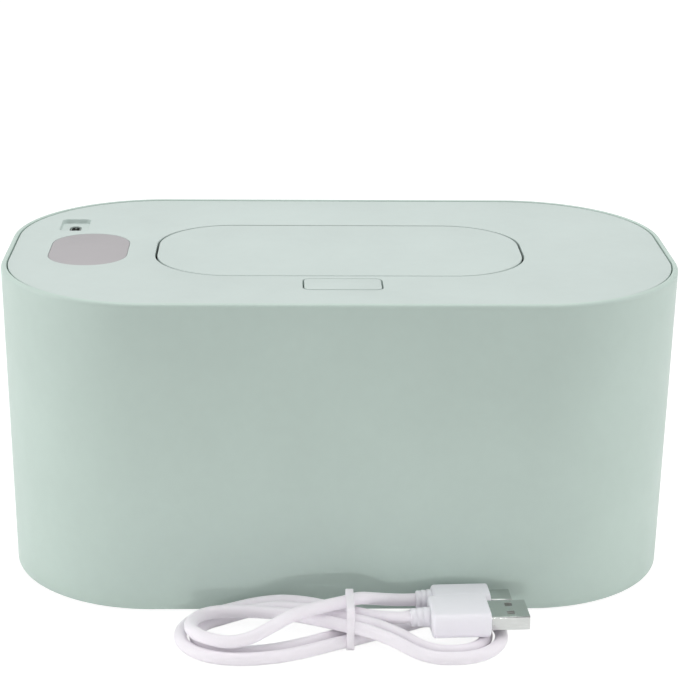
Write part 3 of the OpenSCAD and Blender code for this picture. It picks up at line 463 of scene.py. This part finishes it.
def linerLevels():
    # from the underside up the outside, round the flange, over the lip and down to the inner floor
    floor, r, top, wall = (liner[k] for k in ("floor", "fillet", "flangeTop", "wall"))
    flangeIn = housing["wall"] + leanAt(top) + liner["flangeGap"]
    low = top - liner["flange"]
    fillet, lip = quarter(r, liner["filletSteps"]), quarter(liner["lip"], liner["lipSteps"])
    corner = cutCorner(liner["edge"], liner["edgeCut"])
    levels = [rimLoop(linerWall(0, floor + r) + i, floor + d) for i, d in fillet]
    levels += [rimLoop(linerWall(0, z), z) for z in (*liner["rows"], low)]
    levels += [rimLoop(flangeIn + i, low + d) for i, d in corner]
    levels += [rimLoop(flangeIn + i, top - d) for i, d in corner[::-1]]
    levels += [rimLoop(linerWall(wall, top - liner["lip"]) - i, top - d) for i, d in lip]
    levels += [rimLoop(linerWall(wall, z), z) for z in liner["rows"][::-1]]
    levels += [rimLoop(linerWall(wall, floor + r) + i, floor + wall + d) for i, d in fillet[::-1]]
    return levels


linerShape = closedStack(linerLevels(), liner["steps"])
linerPiece = addMesh("wipeLiner", linerShape, "housing", "white_plastic", "inner_tank")
print("housing made")

# w, d, r and c are an outline's width, depth, corner radius and centre; plate and skirt count from the
# cover's top, boardDrop from the plate's underside
cover = {"gap": 0.4, "step": 0.3, "plate": 2.2, "skirt": 15.6, "skirtWall": 1.8, "edge": 0.25,
    "footEdge": 0.2, "pan": 1.8, "boardDrop": 5.0, "rimSteps": 48, "holeSteps": 24}
coverTop = housing["height"] - cover["step"]
plateUnder = coverTop - cover["plate"]
skirtFoot = coverTop - cover["skirt"]
panTop = skirtFoot + cover["pan"]
boardTop = plateUnder - cover["boardDrop"]
coverInset = housing["wall"] + cover["gap"]
lid = {"w": 119.0, "d": 59.7, "r": 24.0, "c": (0, -1.8), "gap": 0.7, "thick": 2.0, "edge": 0.4,
    "edgeSteps": 6, "rebate": 0.8, "underEdge": 0.15, "stepEdge": 0.1, "steps": 40}
lidFront = lid["c"][1] - lid["d"] / 2 - lid["gap"]
button = {"w": 24.0, "d": 11.4, "r": 2.0, "gap": 0.5, "bar": 2.5, "lip": 1.4}
buttonY = lidFront - button["bar"] - button["gap"] - button["d"] / 2
# the window lies on a ledge, over a tray; rounded has its upper edge's (offset, drop)
window = {"w": 25.4, "d": 37.6, "r": 12.2, "c": (-housing["width"] / 2 + 26.9, -2.0), "thick": 1.4,
    "gap": 0.1, "edge": 0.15, "ledge": 2.5, "tray": 1.5, "trayDeep": 0.8, "steps": 32,
    "rounded": ((0, 0.2), (-0.05, 0.1), (-0.2, 0.05))}
well = {"w": 9.6, "d": 15.0, "r": 2.0, "c": (window["c"][0] - 7.5, 28.2), "deep": 1.6, "edge": 0.3,
    "floorCut": 0.1, "wall": 1.2}
socket = {"w": 3.9, "d": 9.6, "c": (well["c"][0], well["c"][1] - 1.2), "sliver": 0.02}
# the hinge's axis lies back from the lid's opening and down from the cover's top
hinge = {"back": 4.4, "down": 4.5, "hub": 5.2, "hubRoom": 0.35, "arm": 37.0, "armWide": 6.0, "earThick": 3.0,
    "earGap": 0.4, "archPoints": 9, "earPoints": 25}
hingeY = lid["c"][1] + lid["d"] / 2 + lid["gap"] + hinge["back"]
hingeZ = coverTop - hinge["down"]
# the walls round the button; the rear one has a hole from sill to head round the hook's nose
guide = {"wall": 1.1, "back": lidFront - 0.3, "front": buttonY - button["d"] / 2 - 1.2, "edge": 0.1,
    "low": plateUnder - 7.5, "wide": button["w"] + 2 * button["lip"] + 1, "hole": 4.5,
    "sill": plateUnder - 5.8, "head": plateUnder - 3.2}
# hollow posts under the plate for the pan's screws and for the board's
boardX = window["c"][0]
posts = [{"outer": 3.2, "bore": 1.25, "foot": panTop, "places": [(81, 42), (81, -42), (-81, 42), (-81, -42),
    (40, -48.5), (-40, -48.5), (50, 48.5), (-50, 48.5)]},
    {"outer": 2.5, "bore": 0.8, "foot": boardTop, "places": [(boardX - 11.6, -18), (boardX + 14, -23),
    (boardX + 14, 30.5)]}]


def flatWithHoles(outer, holes, z, up):
    # a triangulation that keeps the outline's and the holes' edges, less the triangles inside a hole
    loops = [outer] + holes
    flat = np.vstack(loops)
    edges, start = [], 0
    for loop in loops:
        count = len(loop)
        edges += [(start + k, start + (k + 1) % count) for k in range(count)]
        start += count
    found = delaunay_2d_cdt([Vector(p) for p in flat], edges, [], 0, meshing["near"])
    vertices = np.array([tuple(v) for v in found[0]])
    faces = []
    for face in found[2]:
        middle = vertices[list(face)].mean(0)
        if insideLoop(middle, outer) and not any(insideLoop(middle, hole) for hole in holes):
            faces.append(list(face) if up else list(face)[::-1])
    return np.column_stack([vertices, np.full(len(vertices), z)]), faces


def insideLoop(point, loop):
    # counts the loop's sides crossed by a ray to the right
    a, b = loop, np.roll(loop, -1, axis=0)
    crosses = (a[:, 1] > point[1]) != (b[:, 1] > point[1])
    with np.errstate(divide="ignore", invalid="ignore"):
        reach = a[:, 0] + (point[1] - a[:, 1]) / (b[:, 1] - a[:, 1]) * (b[:, 0] - a[:, 0])
    return np.count_nonzero(crosses & (point[0] < reach)) % 2 == 1


def skirtLevels():
    # from the top face over its edge, down the plate and the leaning skirt, then up its inside to the plate
    foot = coverInset + leanAt(skirtFoot)
    inner, edge = foot + cover["skirtWall"], cover["footEdge"]
    levels = [rimLoop(coverInset + i, coverTop - d) for i, d in quarter(cover["edge"])]
    return levels + [rimLoop(coverInset, plateUnder), rimLoop(foot, skirtFoot + edge),
        rimLoop(foot + edge, skirtFoot), rimLoop(inner, skirtFoot), rimLoop(inner, plateUnder)]


def holeLevels(base, edge, floor):
    # from the flat face over a rounded edge and down the hole's wall
    return [grown(base, i, coverTop - d) for i, d in quarter(edge)] + [grown(base, 0, floor)]


def holeStacks():
    # the walls of the four openings, each from the plate's top face down to its underside
    ledgeZ, trayZ = coverTop - window["thick"], plateUnder - window["trayDeep"]
    floorZ, footZ = coverTop - well["deep"], plateUnder - well["wall"]
    socketHole = {**socket, "r": socket["w"] / 2 - socket["sliver"]}
    buttonHole = grown({**button, "c": (0, buttonY)}, button["gap"], 0)
    return [
        holeLevels(grown(lid, lid["gap"], 0), cover["edge"], plateUnder),
        holeLevels(buttonHole, cover["edge"], plateUnder),
        holeLevels(grown(window, window["gap"], 0), window["edge"], ledgeZ) + [
            grown(window, -window["ledge"], ledgeZ), grown(window, -window["ledge"], trayZ),
            grown(window, window["tray"], trayZ), grown(window, window["tray"], plateUnder)],
        holeLevels(well, well["edge"], floorZ + well["edge"]) + [
            grown(well, -well["floorCut"], floorZ + well["floorCut"]), grown(well, -well["edge"], floorZ),
            {**socketHole, "z": floorZ}, {**socketHole, "z": footZ},
            grown(well, well["wall"], footZ), grown(well, well["wall"], plateUnder)]]


def coverPlate():
    # flat faces with holes, joined by the skirt's walls outside and by each hole's own wall
    skirt = stackLoops(skirtLevels(), cover["rimSteps"])
    holes = [stackLoops(levels, cover["holeSteps"]) for levels in holeStacks()]
    pockets, outlines = hubPockets()
    tops, lows = [hole[0][:, :2] for hole in holes], [hole[-1][:, :2] for hole in holes]
    parts = [(skirt.reshape(-1, 3), stripFaces(*skirt.shape[:2], flip=True))]
    parts += [(hole.reshape(-1, 3), stripFaces(*hole.shape[:2])) for hole in holes]
    parts.append(flatWithHoles(skirt[0][:, :2], tops, coverTop, True))
    parts.append(flatWithHoles(skirt[-1][:, :2], lows + outlines, plateUnder, False))
    return joined(parts + pockets + hingeEars() + buttonGuide() + coverPosts())


def hubPockets():
    # a shallow arch over each hinge hub in the plate's underside: the hub's circle with room round it
    count = hinge["archPoints"]
    r = hinge["hub"] / 2 + hinge["hubRoom"]
    half = math.acos((plateUnder - hingeZ) / r)
    turn = np.linspace(-half, half, count)
    arch = np.column_stack([hingeY + r * np.sin(turn), hingeZ + r * np.cos(turn)])
    reach = hinge["armWide"] / 2 + hinge["earGap"]
    # the last strip would close the arch along the opening, so it is left out
    faces = stripFaces(2, count)[:-1] + [list(range(count)), [count + k for k in range(count)][::-1]]
    pockets, outlines = [], []
    for middle in (-hinge["arm"], hinge["arm"]):
        sides = (middle - reach, middle + reach)
        pockets.append((np.vstack([np.column_stack([np.full(count, x), arch]) for x in sides]), faces))
        outlines.append(np.array([(sides[a], arch[b, 0]) for a, b in ((0, 0), (1, 0), (1, -1), (0, -1))]))
    return pockets, outlines


def hingeEars():
    # a half round under the hinge axis and straight sides up to the plate, four times along X
    turn = np.radians(np.linspace(180, 360, hinge["earPoints"]))
    r, thick = hinge["hub"] / 2, hinge["earThick"]
    outline = np.column_stack([hingeY + r * np.cos(turn), hingeZ + r * np.sin(turn)])
    outline = np.vstack([outline, [hingeY + r, plateUnder], [hingeY - r, plateUnder]])
    reach = hinge["armWide"] / 2 + hinge["earGap"] + thick / 2
    middles = [s * hinge["arm"] + e * reach for s in (-1, 1) for e in (-1, 1)]
    return [sideShape(outline, x - thick / 2, x + thick / 2) for x in middles]


def buttonGuide():
    # blocks between two corners each: the front, the two sides, then the rear wall round its hole
    t, half, hole = guide["wall"], guide["wide"] / 2, guide["hole"]
    front, back, low, high = guide["front"], guide["back"], guide["low"], plateUnder
    rear = (back - t, back)
    walls = [((-half - t, half + t), (front - t, front), (low, high)),
        ((-half - t, -half), (front, back), (low, high)), ((half, half + t), (front, back), (low, high)),
        ((-half, -hole), rear, (low, high)), ((hole, half), rear, (low, high)),
        ((-hole, hole), rear, (low, guide["sill"])), ((-hole, hole), rear, (guide["head"], high))]
    return [roundedBlock(np.mean(wall, axis=1), np.ptp(wall, axis=1), guide["edge"]) for wall in walls]


def coverPosts():
    # each kind's hollow rod at each of its places, from its foot up to the plate
    return [hollowRod(x, y, post["outer"], post["bore"], post["foot"], plateUnder)
        for post in posts for x, y in post["places"]]


platePiece = addMesh("coverPlate", coverPlate(), "cover", "mint_top_plastic", "top_cover")
weldMesh(platePiece)


def relieved(points):
    # the lid's back edge is cut back to a circle about the hinge, so that it clears as it swings
    radius = math.hypot(hinge["back"], hinge["down"]) + lid["gap"]
    rise = points[:, 2] - hingeZ
    reach = hingeY - np.sqrt(np.maximum(radius ** 2 - rise ** 2, 0))
    points[:, 1] = np.minimum(points[:, 1], reach)
    return points


def lidPanel():
    # stacked outlines: the rebated lower half, a step out to the full outline, then a rounded upper edge
    under, middle = coverTop - lid["thick"], coverTop - lid["thick"] / 2
    rebate, low, step = lid["rebate"], lid["underEdge"], lid["stepEdge"]
    rows = [(-rebate - low, under), (-rebate, under + low), (-rebate, middle - step),
        (-rebate + step, middle), (-step, middle), (0, middle + step)]
    levels = [grown(lid, offset, z) for offset, z in rows]
    levels += [grown(lid, -i, coverTop - d) for i, d in quarter(lid["edge"], lid["edgeSteps"])[::-1]]
    points, faces = closedStack(levels, lid["steps"])
    return relieved(points), faces


lidPiece = addMesh("flipLid", lidPanel(), "lid", "mint_top_plastic", "flip_lid")


def windowPanel():
    # a thin pill with a slightly rounded upper edge
    levels = [grown(window, 0, coverTop - window["thick"])]
    levels += [grown(window, offset, coverTop - drop) for offset, drop in window["rounded"]]
    return closedStack(levels, window["steps"])


windowPiece = addMesh("displayWindow", windowPanel(), "cover", "window_grey", "display_window")
print("cover made")

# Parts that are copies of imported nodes: each node's new name, body, slot and the width of its rounded
# edges. The spring has no body of its own, because its two ends move apart.
softEdges = {
    "release_button": ("releaseButton", "button", "mint_top_plastic", 0.35),
    "cover_pan": ("coverPan", "cover", "white_plastic", 0.25),
    "dispensing_mouth": ("dispensingMouth", "cover", "grey_rubber", 0.4),
    "cover_gasket": ("coverGasket", "cover", "grey_rubber", 0.3),
    "lid_inner_panel": ("lidInnerPanel", "lid", "white_plastic", 0.25),
    "lid_seal": ("lidSeal", "lid", "grey_rubber", 0.35),
    "lid_snap_hook": ("lidSnapHook", "lid", "white_plastic", 0.15),
    "base_cover": ("baseCover", "housing", "mint_plastic", 0.25),
    "rubber_feet": ("rubberFeet", "housing", "dark_rubber", 0.12),
    "usb_a_shell": ("widePlugShell", "housing", "plated_steel", 0.1),
    "usb_c_shell": ("narrowPlugShell", "housing", "plated_steel", 0.06),
    "button_spring": ("buttonSpring", None, "screw_steel", 0),
}


def softEdged(key, name, body, slot, width):
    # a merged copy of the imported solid, its flat faces joined up and its sharp edges rounded by a bevel
    shape = bmesh.new()
    shape.from_mesh(nodes[key].data)
    bmesh.ops.remove_doubles(shape, verts=shape.verts, dist=meshing["merge"] * mm)
    bmesh.ops.dissolve_limit(shape, angle_limit=math.radians(meshing["flat"]), verts=shape.verts,
        edges=shape.edges)
    mesh = bpy.data.meshes.new(name)
    shape.to_mesh(mesh)
    shape.free()
    piece = addPiece(name, mesh, body, slot, key)
    if width:
        bevel = piece.modifiers.new("edge", "BEVEL")
        bevel.width = width * mm
        bevel.segments = meshing["segments"]
        bevel.limit_method = "ANGLE"
        bevel.angle_limit = math.radians(meshing["sharp"])
        bevel.harden_normals = True
    return piece


softPieces = {key: softEdged(key, *values) for key, values in softEdges.items()}
# the spring's foot stands on the cover's pan, and its mesh is baked in place
springLow, springHigh = (corner[2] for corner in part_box("button_spring"))
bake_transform(softPieces["button_spring"], "cover", "button", start=(0, buttonY * mm, springLow),
    end=(0, buttonY * mm, springHigh))
tuple(wideStart * mm)
print("moulded parts made")


class Socket:
    # a node's output with the sums and products that the materials use
    def __init__(self, maker, link):
        self.maker, self.link = maker, link

    def math(self, operation, other=0.0, swap=False):
        # one Math node on this value and the other, or swapped
        first, second = (other, self) if swap else (self, other)
        return self.maker.node("ShaderNodeMath", {"operation": operation}, {0: first, 1: second})

    def __add__(self, other):
        return self.math("ADD", other)

    def __radd__(self, other):
        return self.math("ADD", other, True)

    def __sub__(self, other):
        return self.math("SUBTRACT", other)

    def __rsub__(self, other):
        return self.math("SUBTRACT", other, True)

    def __mul__(self, other):
        return self.math("MULTIPLY", other)

    def __rmul__(self, other):
        return self.math("MULTIPLY", other, True)

    def __truediv__(self, other):
        return self.math("DIVIDE", other)

    def __rtruediv__(self, other):
        return self.math("DIVIDE", other, True)


class Finish:
    # one material: its nodes come from node(), and give() feeds the shader
    def __init__(self, name):
        self.material = bpy.data.materials.new(name)
        self.material.use_nodes = True
        self.tree = self.material.node_tree
        self.shader = self.tree.nodes["Principled BSDF"]

    def node(self, kind, settings={}, sockets={}, output=0):
        # a node from its type, its settings, its sockets' values or links, and the output wanted
        made = self.tree.nodes.new(kind)
        for key, value in settings.items():
            setattr(made, key, value)
        for key, value in sockets.items():
            self.feed(made.inputs[key], value)
        return Socket(self, made.outputs[output])

    def feed(self, target, value):
        # a link where the value is a socket, else the socket's own constant
        if isinstance(value, Socket):
            self.tree.links.new(value.link, target)
        else:
            target.default_value = value

    def give(self, **values):
        # the shader's sockets by their names run together, so that baseColor feeds Base Color
        for key, value in values.items():
            spaced = "".join(" " + c if c.isupper() else c for c in key)
            self.feed(self.shader.inputs[spaced[0].upper() + spaced[1:]], value)
        return self.material

    def place(self, stretch=(1.0, 1.0, 1.0)):
        # Object coordinates, stretched
        here = self.node("ShaderNodeTexCoord", output=3)
        return self.node("ShaderNodeMapping", {}, {0: here, 3: stretch})

    def axis(self, k):
        # one coordinate, in metres
        return self.node("ShaderNodeSeparateXYZ", {}, {0: self.place()}, output=k)

    def cells(self, size, feature="F1"):
        # cells about size metres across: the distance to a cell's point or to its edge
        return self.node("ShaderNodeTexVoronoi", {"feature": feature},
            {"Vector": self.place(), "Scale": 1 / size})

    def stripe(self, along, pitch, share, soft=0.03):
        # 1 on a stripe of the given share of each pitch, 0 between stripes, with softened edges
        off = ((along / pitch).math("FRACT") - 0.5).math("ABSOLUTE")
        return self.ramp(off, share / 2 + soft, share / 2 - soft)

    def noise(self, size, detail=3, roughness=0.55, where=None):
        # a noise whose features are about size metres across
        return self.node("ShaderNodeTexNoise", {}, {"Vector": where or self.place(), "Scale": 1 / size,
            "Detail": detail, "Roughness": roughness})

    def ramp(self, value, low, high, start=0.0, end=1.0):
        # start at low to end at high, straight between them and level outside
        return self.node("ShaderNodeMapRange", {}, {0: value, 1: low, 2: high, 3: start, 4: end})

    def blend(self, mask, first, second):
        # the first colour where the mask is 0, the second where it is 1
        return self.node("ShaderNodeMix", {"data_type": "RGBA"}, {0: mask, 6: first, 7: second}, output=2)

    def bump(self, height, distance, strength):
        # a normal tilted by the slope of a height, which is distance metres at 1
        return self.node("ShaderNodeBump", {}, {"Height": height, "Distance": distance, "Strength": strength})


def linear(red, green, blue):
    # screen colour 0 to 255 to linear light
    value = np.array([red, green, blue]) / 255
    value = np.where(value <= 0.04045, value / 12.92, ((value + 0.055) / 1.055) ** 2.4)
    return (*value.tolist(), 1.0)


def scaled(colour, factor):
    # lighter or darker, at most 1 in each channel
    return (*[min(c * factor, 1.0) for c in colour[:3]], 1.0)


# sizes in the finishes are in metres: a noise's features, cells, a bump's height
def mouldedPlastic(name, colour, rough=0.5, grain=0.00035, depth=0.000012, mottle=0.03):
    # satin moulded plastic: broad colour drift, a fine sparked grain, and polish that varies a little
    finish = Finish(name)
    drift = finish.noise(0.045, 2)
    fine = finish.noise(0.004, 3)
    mask = finish.ramp(drift * 0.7 + fine * 0.3, 0.3, 0.7)
    grained = finish.noise(grain, 2, 0.6)
    colourHere = finish.blend(mask, scaled(colour, 1 - mottle), scaled(colour, 1 + mottle))
    roughHere = finish.ramp(finish.noise(0.012, 4), 0.3, 0.7, rough - 0.05, rough + 0.05)
    return finish.give(baseColor=colourHere, roughness=roughHere, normal=finish.bump(grained, depth, 0.6))


def softRubber(name, colour, rough=0.7):
    # matt rubber: cloudy bloom, fine specks of dust and a slight orange peel
    finish = Finish(name)
    bloom = finish.ramp(finish.noise(0.011, 4, 0.6), 0.35, 0.7)
    specks = finish.ramp(finish.noise(0.0007, 2, 0.7), 0.62, 0.75)
    base = finish.blend(bloom, scaled(colour, 0.93), scaled(colour, 1.08))
    dusted = finish.blend(specks * 0.25, base, scaled(colour, 1.5))
    peel = finish.noise(0.0012, 3)
    return finish.give(baseColor=dusted, roughness=finish.ramp(bloom, 0, 1, rough - 0.06, rough + 0.08),
        normal=finish.bump(peel, 0.00002, 0.5))


def drawnMetal(name, colour, rough, stretch):
    # metal with drawing lines along one direction, faint smudges and a duller film in places
    finish = Finish(name)
    lines = finish.noise(0.0004, 3, 0.7, finish.place(stretch))
    smudge = finish.ramp(finish.noise(0.006, 3), 0.4, 0.7)
    base = finish.blend(lines, scaled(colour, 0.88), scaled(colour, 1.1))
    filmed = finish.blend(smudge * 0.3, base, scaled(colour, 0.8))
    worn = finish.ramp(lines * 0.6 + smudge * 0.4, 0.2, 0.8, rough - 0.07, rough + 0.1)
    return finish.give(metallic=1.0, baseColor=filmed, roughness=worn,
        normal=finish.bump(lines, 0.000006, 0.5))


def closedCellFoam(name, colour):
    # foam: small closed cells as pits, their middles darkened as painted shade and the walls between them at
    # the full colour, and broad yellowing
    finish = Finish(name)
    cell = finish.cells(0.0011)
    walls = finish.ramp(cell, 0.25, 0.6)
    aged = finish.ramp(finish.noise(0.03, 3), 0.35, 0.7)
    # painted shade: the pits at 0.82 of the colour, the walls between them at the full colour
    base = finish.blend(walls, scaled(colour, 0.82), colour)
    tinted = finish.blend(aged * 0.3, base, linear(214, 205, 180))
    return finish.give(baseColor=tinted, roughness=finish.ramp(walls, 0, 1, 0.95, 0.8),
        normal=finish.bump(cell, 0.0003, 0.6))


def heaterFoil(name):
    # polyimide foil with an etched track: stripes along X, crossed by thin ones
    finish = Finish(name)
    rows = finish.stripe(finish.axis(1), 0.0032, 0.55)
    posts = finish.stripe(finish.axis(0), 0.019, 0.06)
    track = rows.math("MAXIMUM", posts)
    cloud = finish.noise(0.008, 3)
    film = finish.blend(cloud, linear(176, 108, 30), linear(205, 138, 48))
    metal = finish.blend(cloud, linear(150, 84, 46), linear(176, 104, 62))
    return finish.give(baseColor=finish.blend(track * 0.8, film, metal),
        roughness=finish.ramp(track, 0, 1, 0.22, 0.4), normal=finish.bump(track, 0.00004, 0.5))


def solderMask(name):
    # board lacquer over copper: tracks along the edges of large cells, tinned dots, a weave in the green
    finish = Finish(name)
    edge = finish.cells(0.0058, "DISTANCE_TO_EDGE")
    tracks = finish.ramp(edge, 0.09, 0.05)
    dots = finish.ramp(finish.cells(0.0034), 0.2, 0.16)
    weave = finish.noise(0.0005, 2)
    lacquer = finish.blend(weave, linear(16, 76, 44), linear(24, 92, 54))
    traced = finish.blend(tracks, lacquer, linear(46, 124, 76))
    return finish.give(baseColor=finish.blend(dots, traced, linear(196, 190, 172)),
        roughness=finish.ramp(dots, 0, 1, 0.3, 0.42), metallic=dots * 0.8,
        coatWeight=finish.ramp(dots, 0, 1, 0.5, 0.0), coatRoughness=0.15,
        normal=finish.bump(tracks + dots, 0.00003, 0.6))


def chipCase(name, colour):
    # epoxy cases: matt with fine pits, a lighter ejector mark here and there
    finish = Finish(name)
    pits = finish.noise(0.00025, 3, 0.7)
    marks = finish.ramp(finish.cells(0.0025), 0.22, 0.18)
    pitted = finish.blend(pits, scaled(colour, 0.8), scaled(colour, 1.3))
    return finish.give(baseColor=finish.blend(marks * 0.5, pitted, scaled(colour, 2.2)),
        roughness=finish.ramp(pits, 0.3, 0.7, 0.5, 0.7), normal=finish.bump(pits, 0.00002, 0.7))


finishes = {
    "mint_plastic": mouldedPlastic("mintPlastic", linear(192, 209, 201)),
    "mint_top_plastic": mouldedPlastic("mintTopPlastic", linear(198, 210, 206)),
    "white_plastic": mouldedPlastic("whitePlastic", linear(226, 227, 224), rough=0.42),
    "window_grey": mouldedPlastic("windowGrey", linear(175, 172, 174), rough=0.42, grain=0.0004,
        depth=0.000002, mottle=0.012),
    "display_plastic": mouldedPlastic("displayPlastic", linear(224, 223, 216), rough=0.6, grain=0.0005,
        depth=0.00001, mottle=0.02),
    "cord_jacket": mouldedPlastic("cordJacket", linear(250, 245, 251), rough=0.5, grain=0.0008,
        depth=0.00001, mottle=0.015),
    "plug_plastic": mouldedPlastic("plugPlastic", linear(248, 246, 252), rough=0.45, grain=0.0004,
        depth=0.000006, mottle=0.015),
    "red_insulation": mouldedPlastic("redInsulation", linear(176, 34, 28), rough=0.4, grain=0.0006,
        depth=0.00001, mottle=0.06),
    "dark_plastic": chipCase("darkPlastic", linear(40, 41, 44)),
    "grey_rubber": softRubber("greyRubber", linear(196, 198, 198), rough=0.6),
    "dark_rubber": softRubber("darkRubber", linear(52, 53, 54), rough=0.75),
    "screw_steel": drawnMetal("screwSteel", linear(196, 197, 199), rough=0.3, stretch=(1.0, 1.0, 0.08)),
    "plated_steel": drawnMetal("platedSteel", linear(206, 208, 206), rough=0.2, stretch=(0.08, 1.0, 1.0)),
    "aluminium_sheet": drawnMetal("aluminiumSheet", linear(214, 216, 219), rough=0.34,
        stretch=(0.03, 1.0, 1.0)),
    "insulation_foam": closedCellFoam("insulationFoam", linear(216, 215, 210)),
    "amber_film": heaterFoil("amberFilm"),
    "circuit_board": solderMask("circuitBoard"),
}
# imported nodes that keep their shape, by their slots
nodeSlots = {
    "white_plastic": ["usb_a_tongue"],
    "plated_steel": ["usb_socket"],
    "screw_steel": ["base_screws", "cover_screws", "heater_screws", "board_screws", "lid_hinge_axle",
        "lid_spring"],
    "insulation_foam": ["insulation_wrap"],
    "aluminium_sheet": ["heater_plate"],
    "amber_film": ["heater_film"],
    "red_insulation": ["heater_leads"],
    "circuit_board": ["control_board"],
    "dark_plastic": ["board_components", "temperature_sensor", "usb_c_tongue"],
    "display_plastic": ["display_module"],
}
slotted += [(nodes[name], slot) for slot, names in nodeSlots.items() for name in names]
for piece, slot in slotted:
    piece.data.materials.clear()
    piece.data.materials.append(finishes[slot])
# edges sharper than the angle keep their crease, the rest are smooth
for piece in (platePiece, lidPiece, windowPiece, shellPiece, linerPiece):
    piece.data.set_sharp_from_angle(angle=math.radians(meshing["sharp"]))
print("materials made")

# the floor glows white for the camera, and a part of it still takes the shadow; sizes here are in metres
floorLook = {"reach": 4.0, "grey": 0.86, "glow": 1.25, "glowShare": 0.72, "seenBy": (0, 3, 6)}
backdropLook = {"light": 0.48, "seen": 1.0}
# area lamps aimed at a height over the origin; the low one is a strip, its spread in degrees
lamps = [
    {"name": "topLamp", "place": (0.0, 0.25, 1.1), "size": 0.9, "power": 6.9, "aim": 0.05},
    {"name": "leftLamp", "place": (-1.0, -0.1, 0.3), "size": 0.7, "power": 4.0, "aim": 0.05},
    {"name": "rightLamp", "place": (1.0, -0.1, 0.3), "size": 0.7, "power": 3.0, "aim": 0.05},
    {"name": "frontLamp", "place": (0.0, -1.3, 0.12), "size": 0.9, "power": 0.8, "aim": 0.05},
    {"name": "lowLamp", "place": (-0.05, -1.0, 0.03), "size": 0.7, "power": 0.03, "aim": 0.0, "high": 0.03,
        "spread": 14},
]


def addFloor(look):
    # a square that glows for camera, glossy and transmitted rays, Light Path's outputs 0, 3 and 6
    mesh = bpy.data.meshes.new("floor")
    corners = np.array([(-1, -1, 0), (1, -1, 0), (1, 1, 0), (-1, 1, 0)]) * look["reach"]
    mesh.from_pydata(corners, [], [[0, 1, 2, 3]])
    floor = linked("floor", mesh)
    finish = Finish("floorWhite")
    seen, *others = (finish.node("ShaderNodeLightPath", output=k) for k in look["seenBy"])
    for other in others:
        seen = seen.math("MAXIMUM", other)
    diffuse = finish.node("ShaderNodeBsdfDiffuse", {}, {"Color": (*[look["grey"]] * 3, 1)})
    glow = finish.node("ShaderNodeEmission", {}, {"Color": (1, 1, 1, 1), "Strength": look["glow"]})
    mixed = finish.node("ShaderNodeMixShader", {}, {0: seen * look["glowShare"], 1: diffuse, 2: glow})
    finish.feed(finish.tree.nodes["Material Output"].inputs["Surface"], mixed)
    mesh.materials.append(finish.material)


def addBackdrop(look):
    # a white world, at one strength for the camera and at a lower one as light
    world = bpy.data.worlds.new("studio")
    world.use_nodes = True
    bpy.context.scene.world = world
    tree = world.node_tree
    backdrop = tree.nodes["Background"]
    path = tree.nodes.new("ShaderNodeLightPath")
    strength = tree.nodes.new("ShaderNodeMapRange")
    strength.inputs[3].default_value = look["light"]
    strength.inputs[4].default_value = look["seen"]
    tree.links.new(path.outputs["Is Camera Ray"], strength.inputs[0])
    tree.links.new(strength.outputs[0], backdrop.inputs["Strength"])
    backdrop.inputs["Color"].default_value = (1, 1, 1, 1)


def addLamp(look):
    # a square, or a rectangle where it has a height, turned to the point it aims at
    data = bpy.data.lights.new(look["name"], "AREA")
    data.size = look["size"]
    data.energy = look["power"]
    if "high" in look:
        data.shape = "RECTANGLE"
        data.size_y = look["high"]
        data.spread = math.radians(look["spread"])
    lamp = linked(look["name"], data)
    lamp.location = look["place"]
    aim = Vector((0, 0, look["aim"])) - Vector(look["place"])
    lamp.rotation_euler = aim.to_track_quat("-Z", "Y").to_euler()


addFloor(floorLook)
addBackdrop(backdropLook)
for lamp in lamps:
    addLamp(lamp)
bpy.context.scene.view_settings.view_transform = "Standard"
print("scene ready")
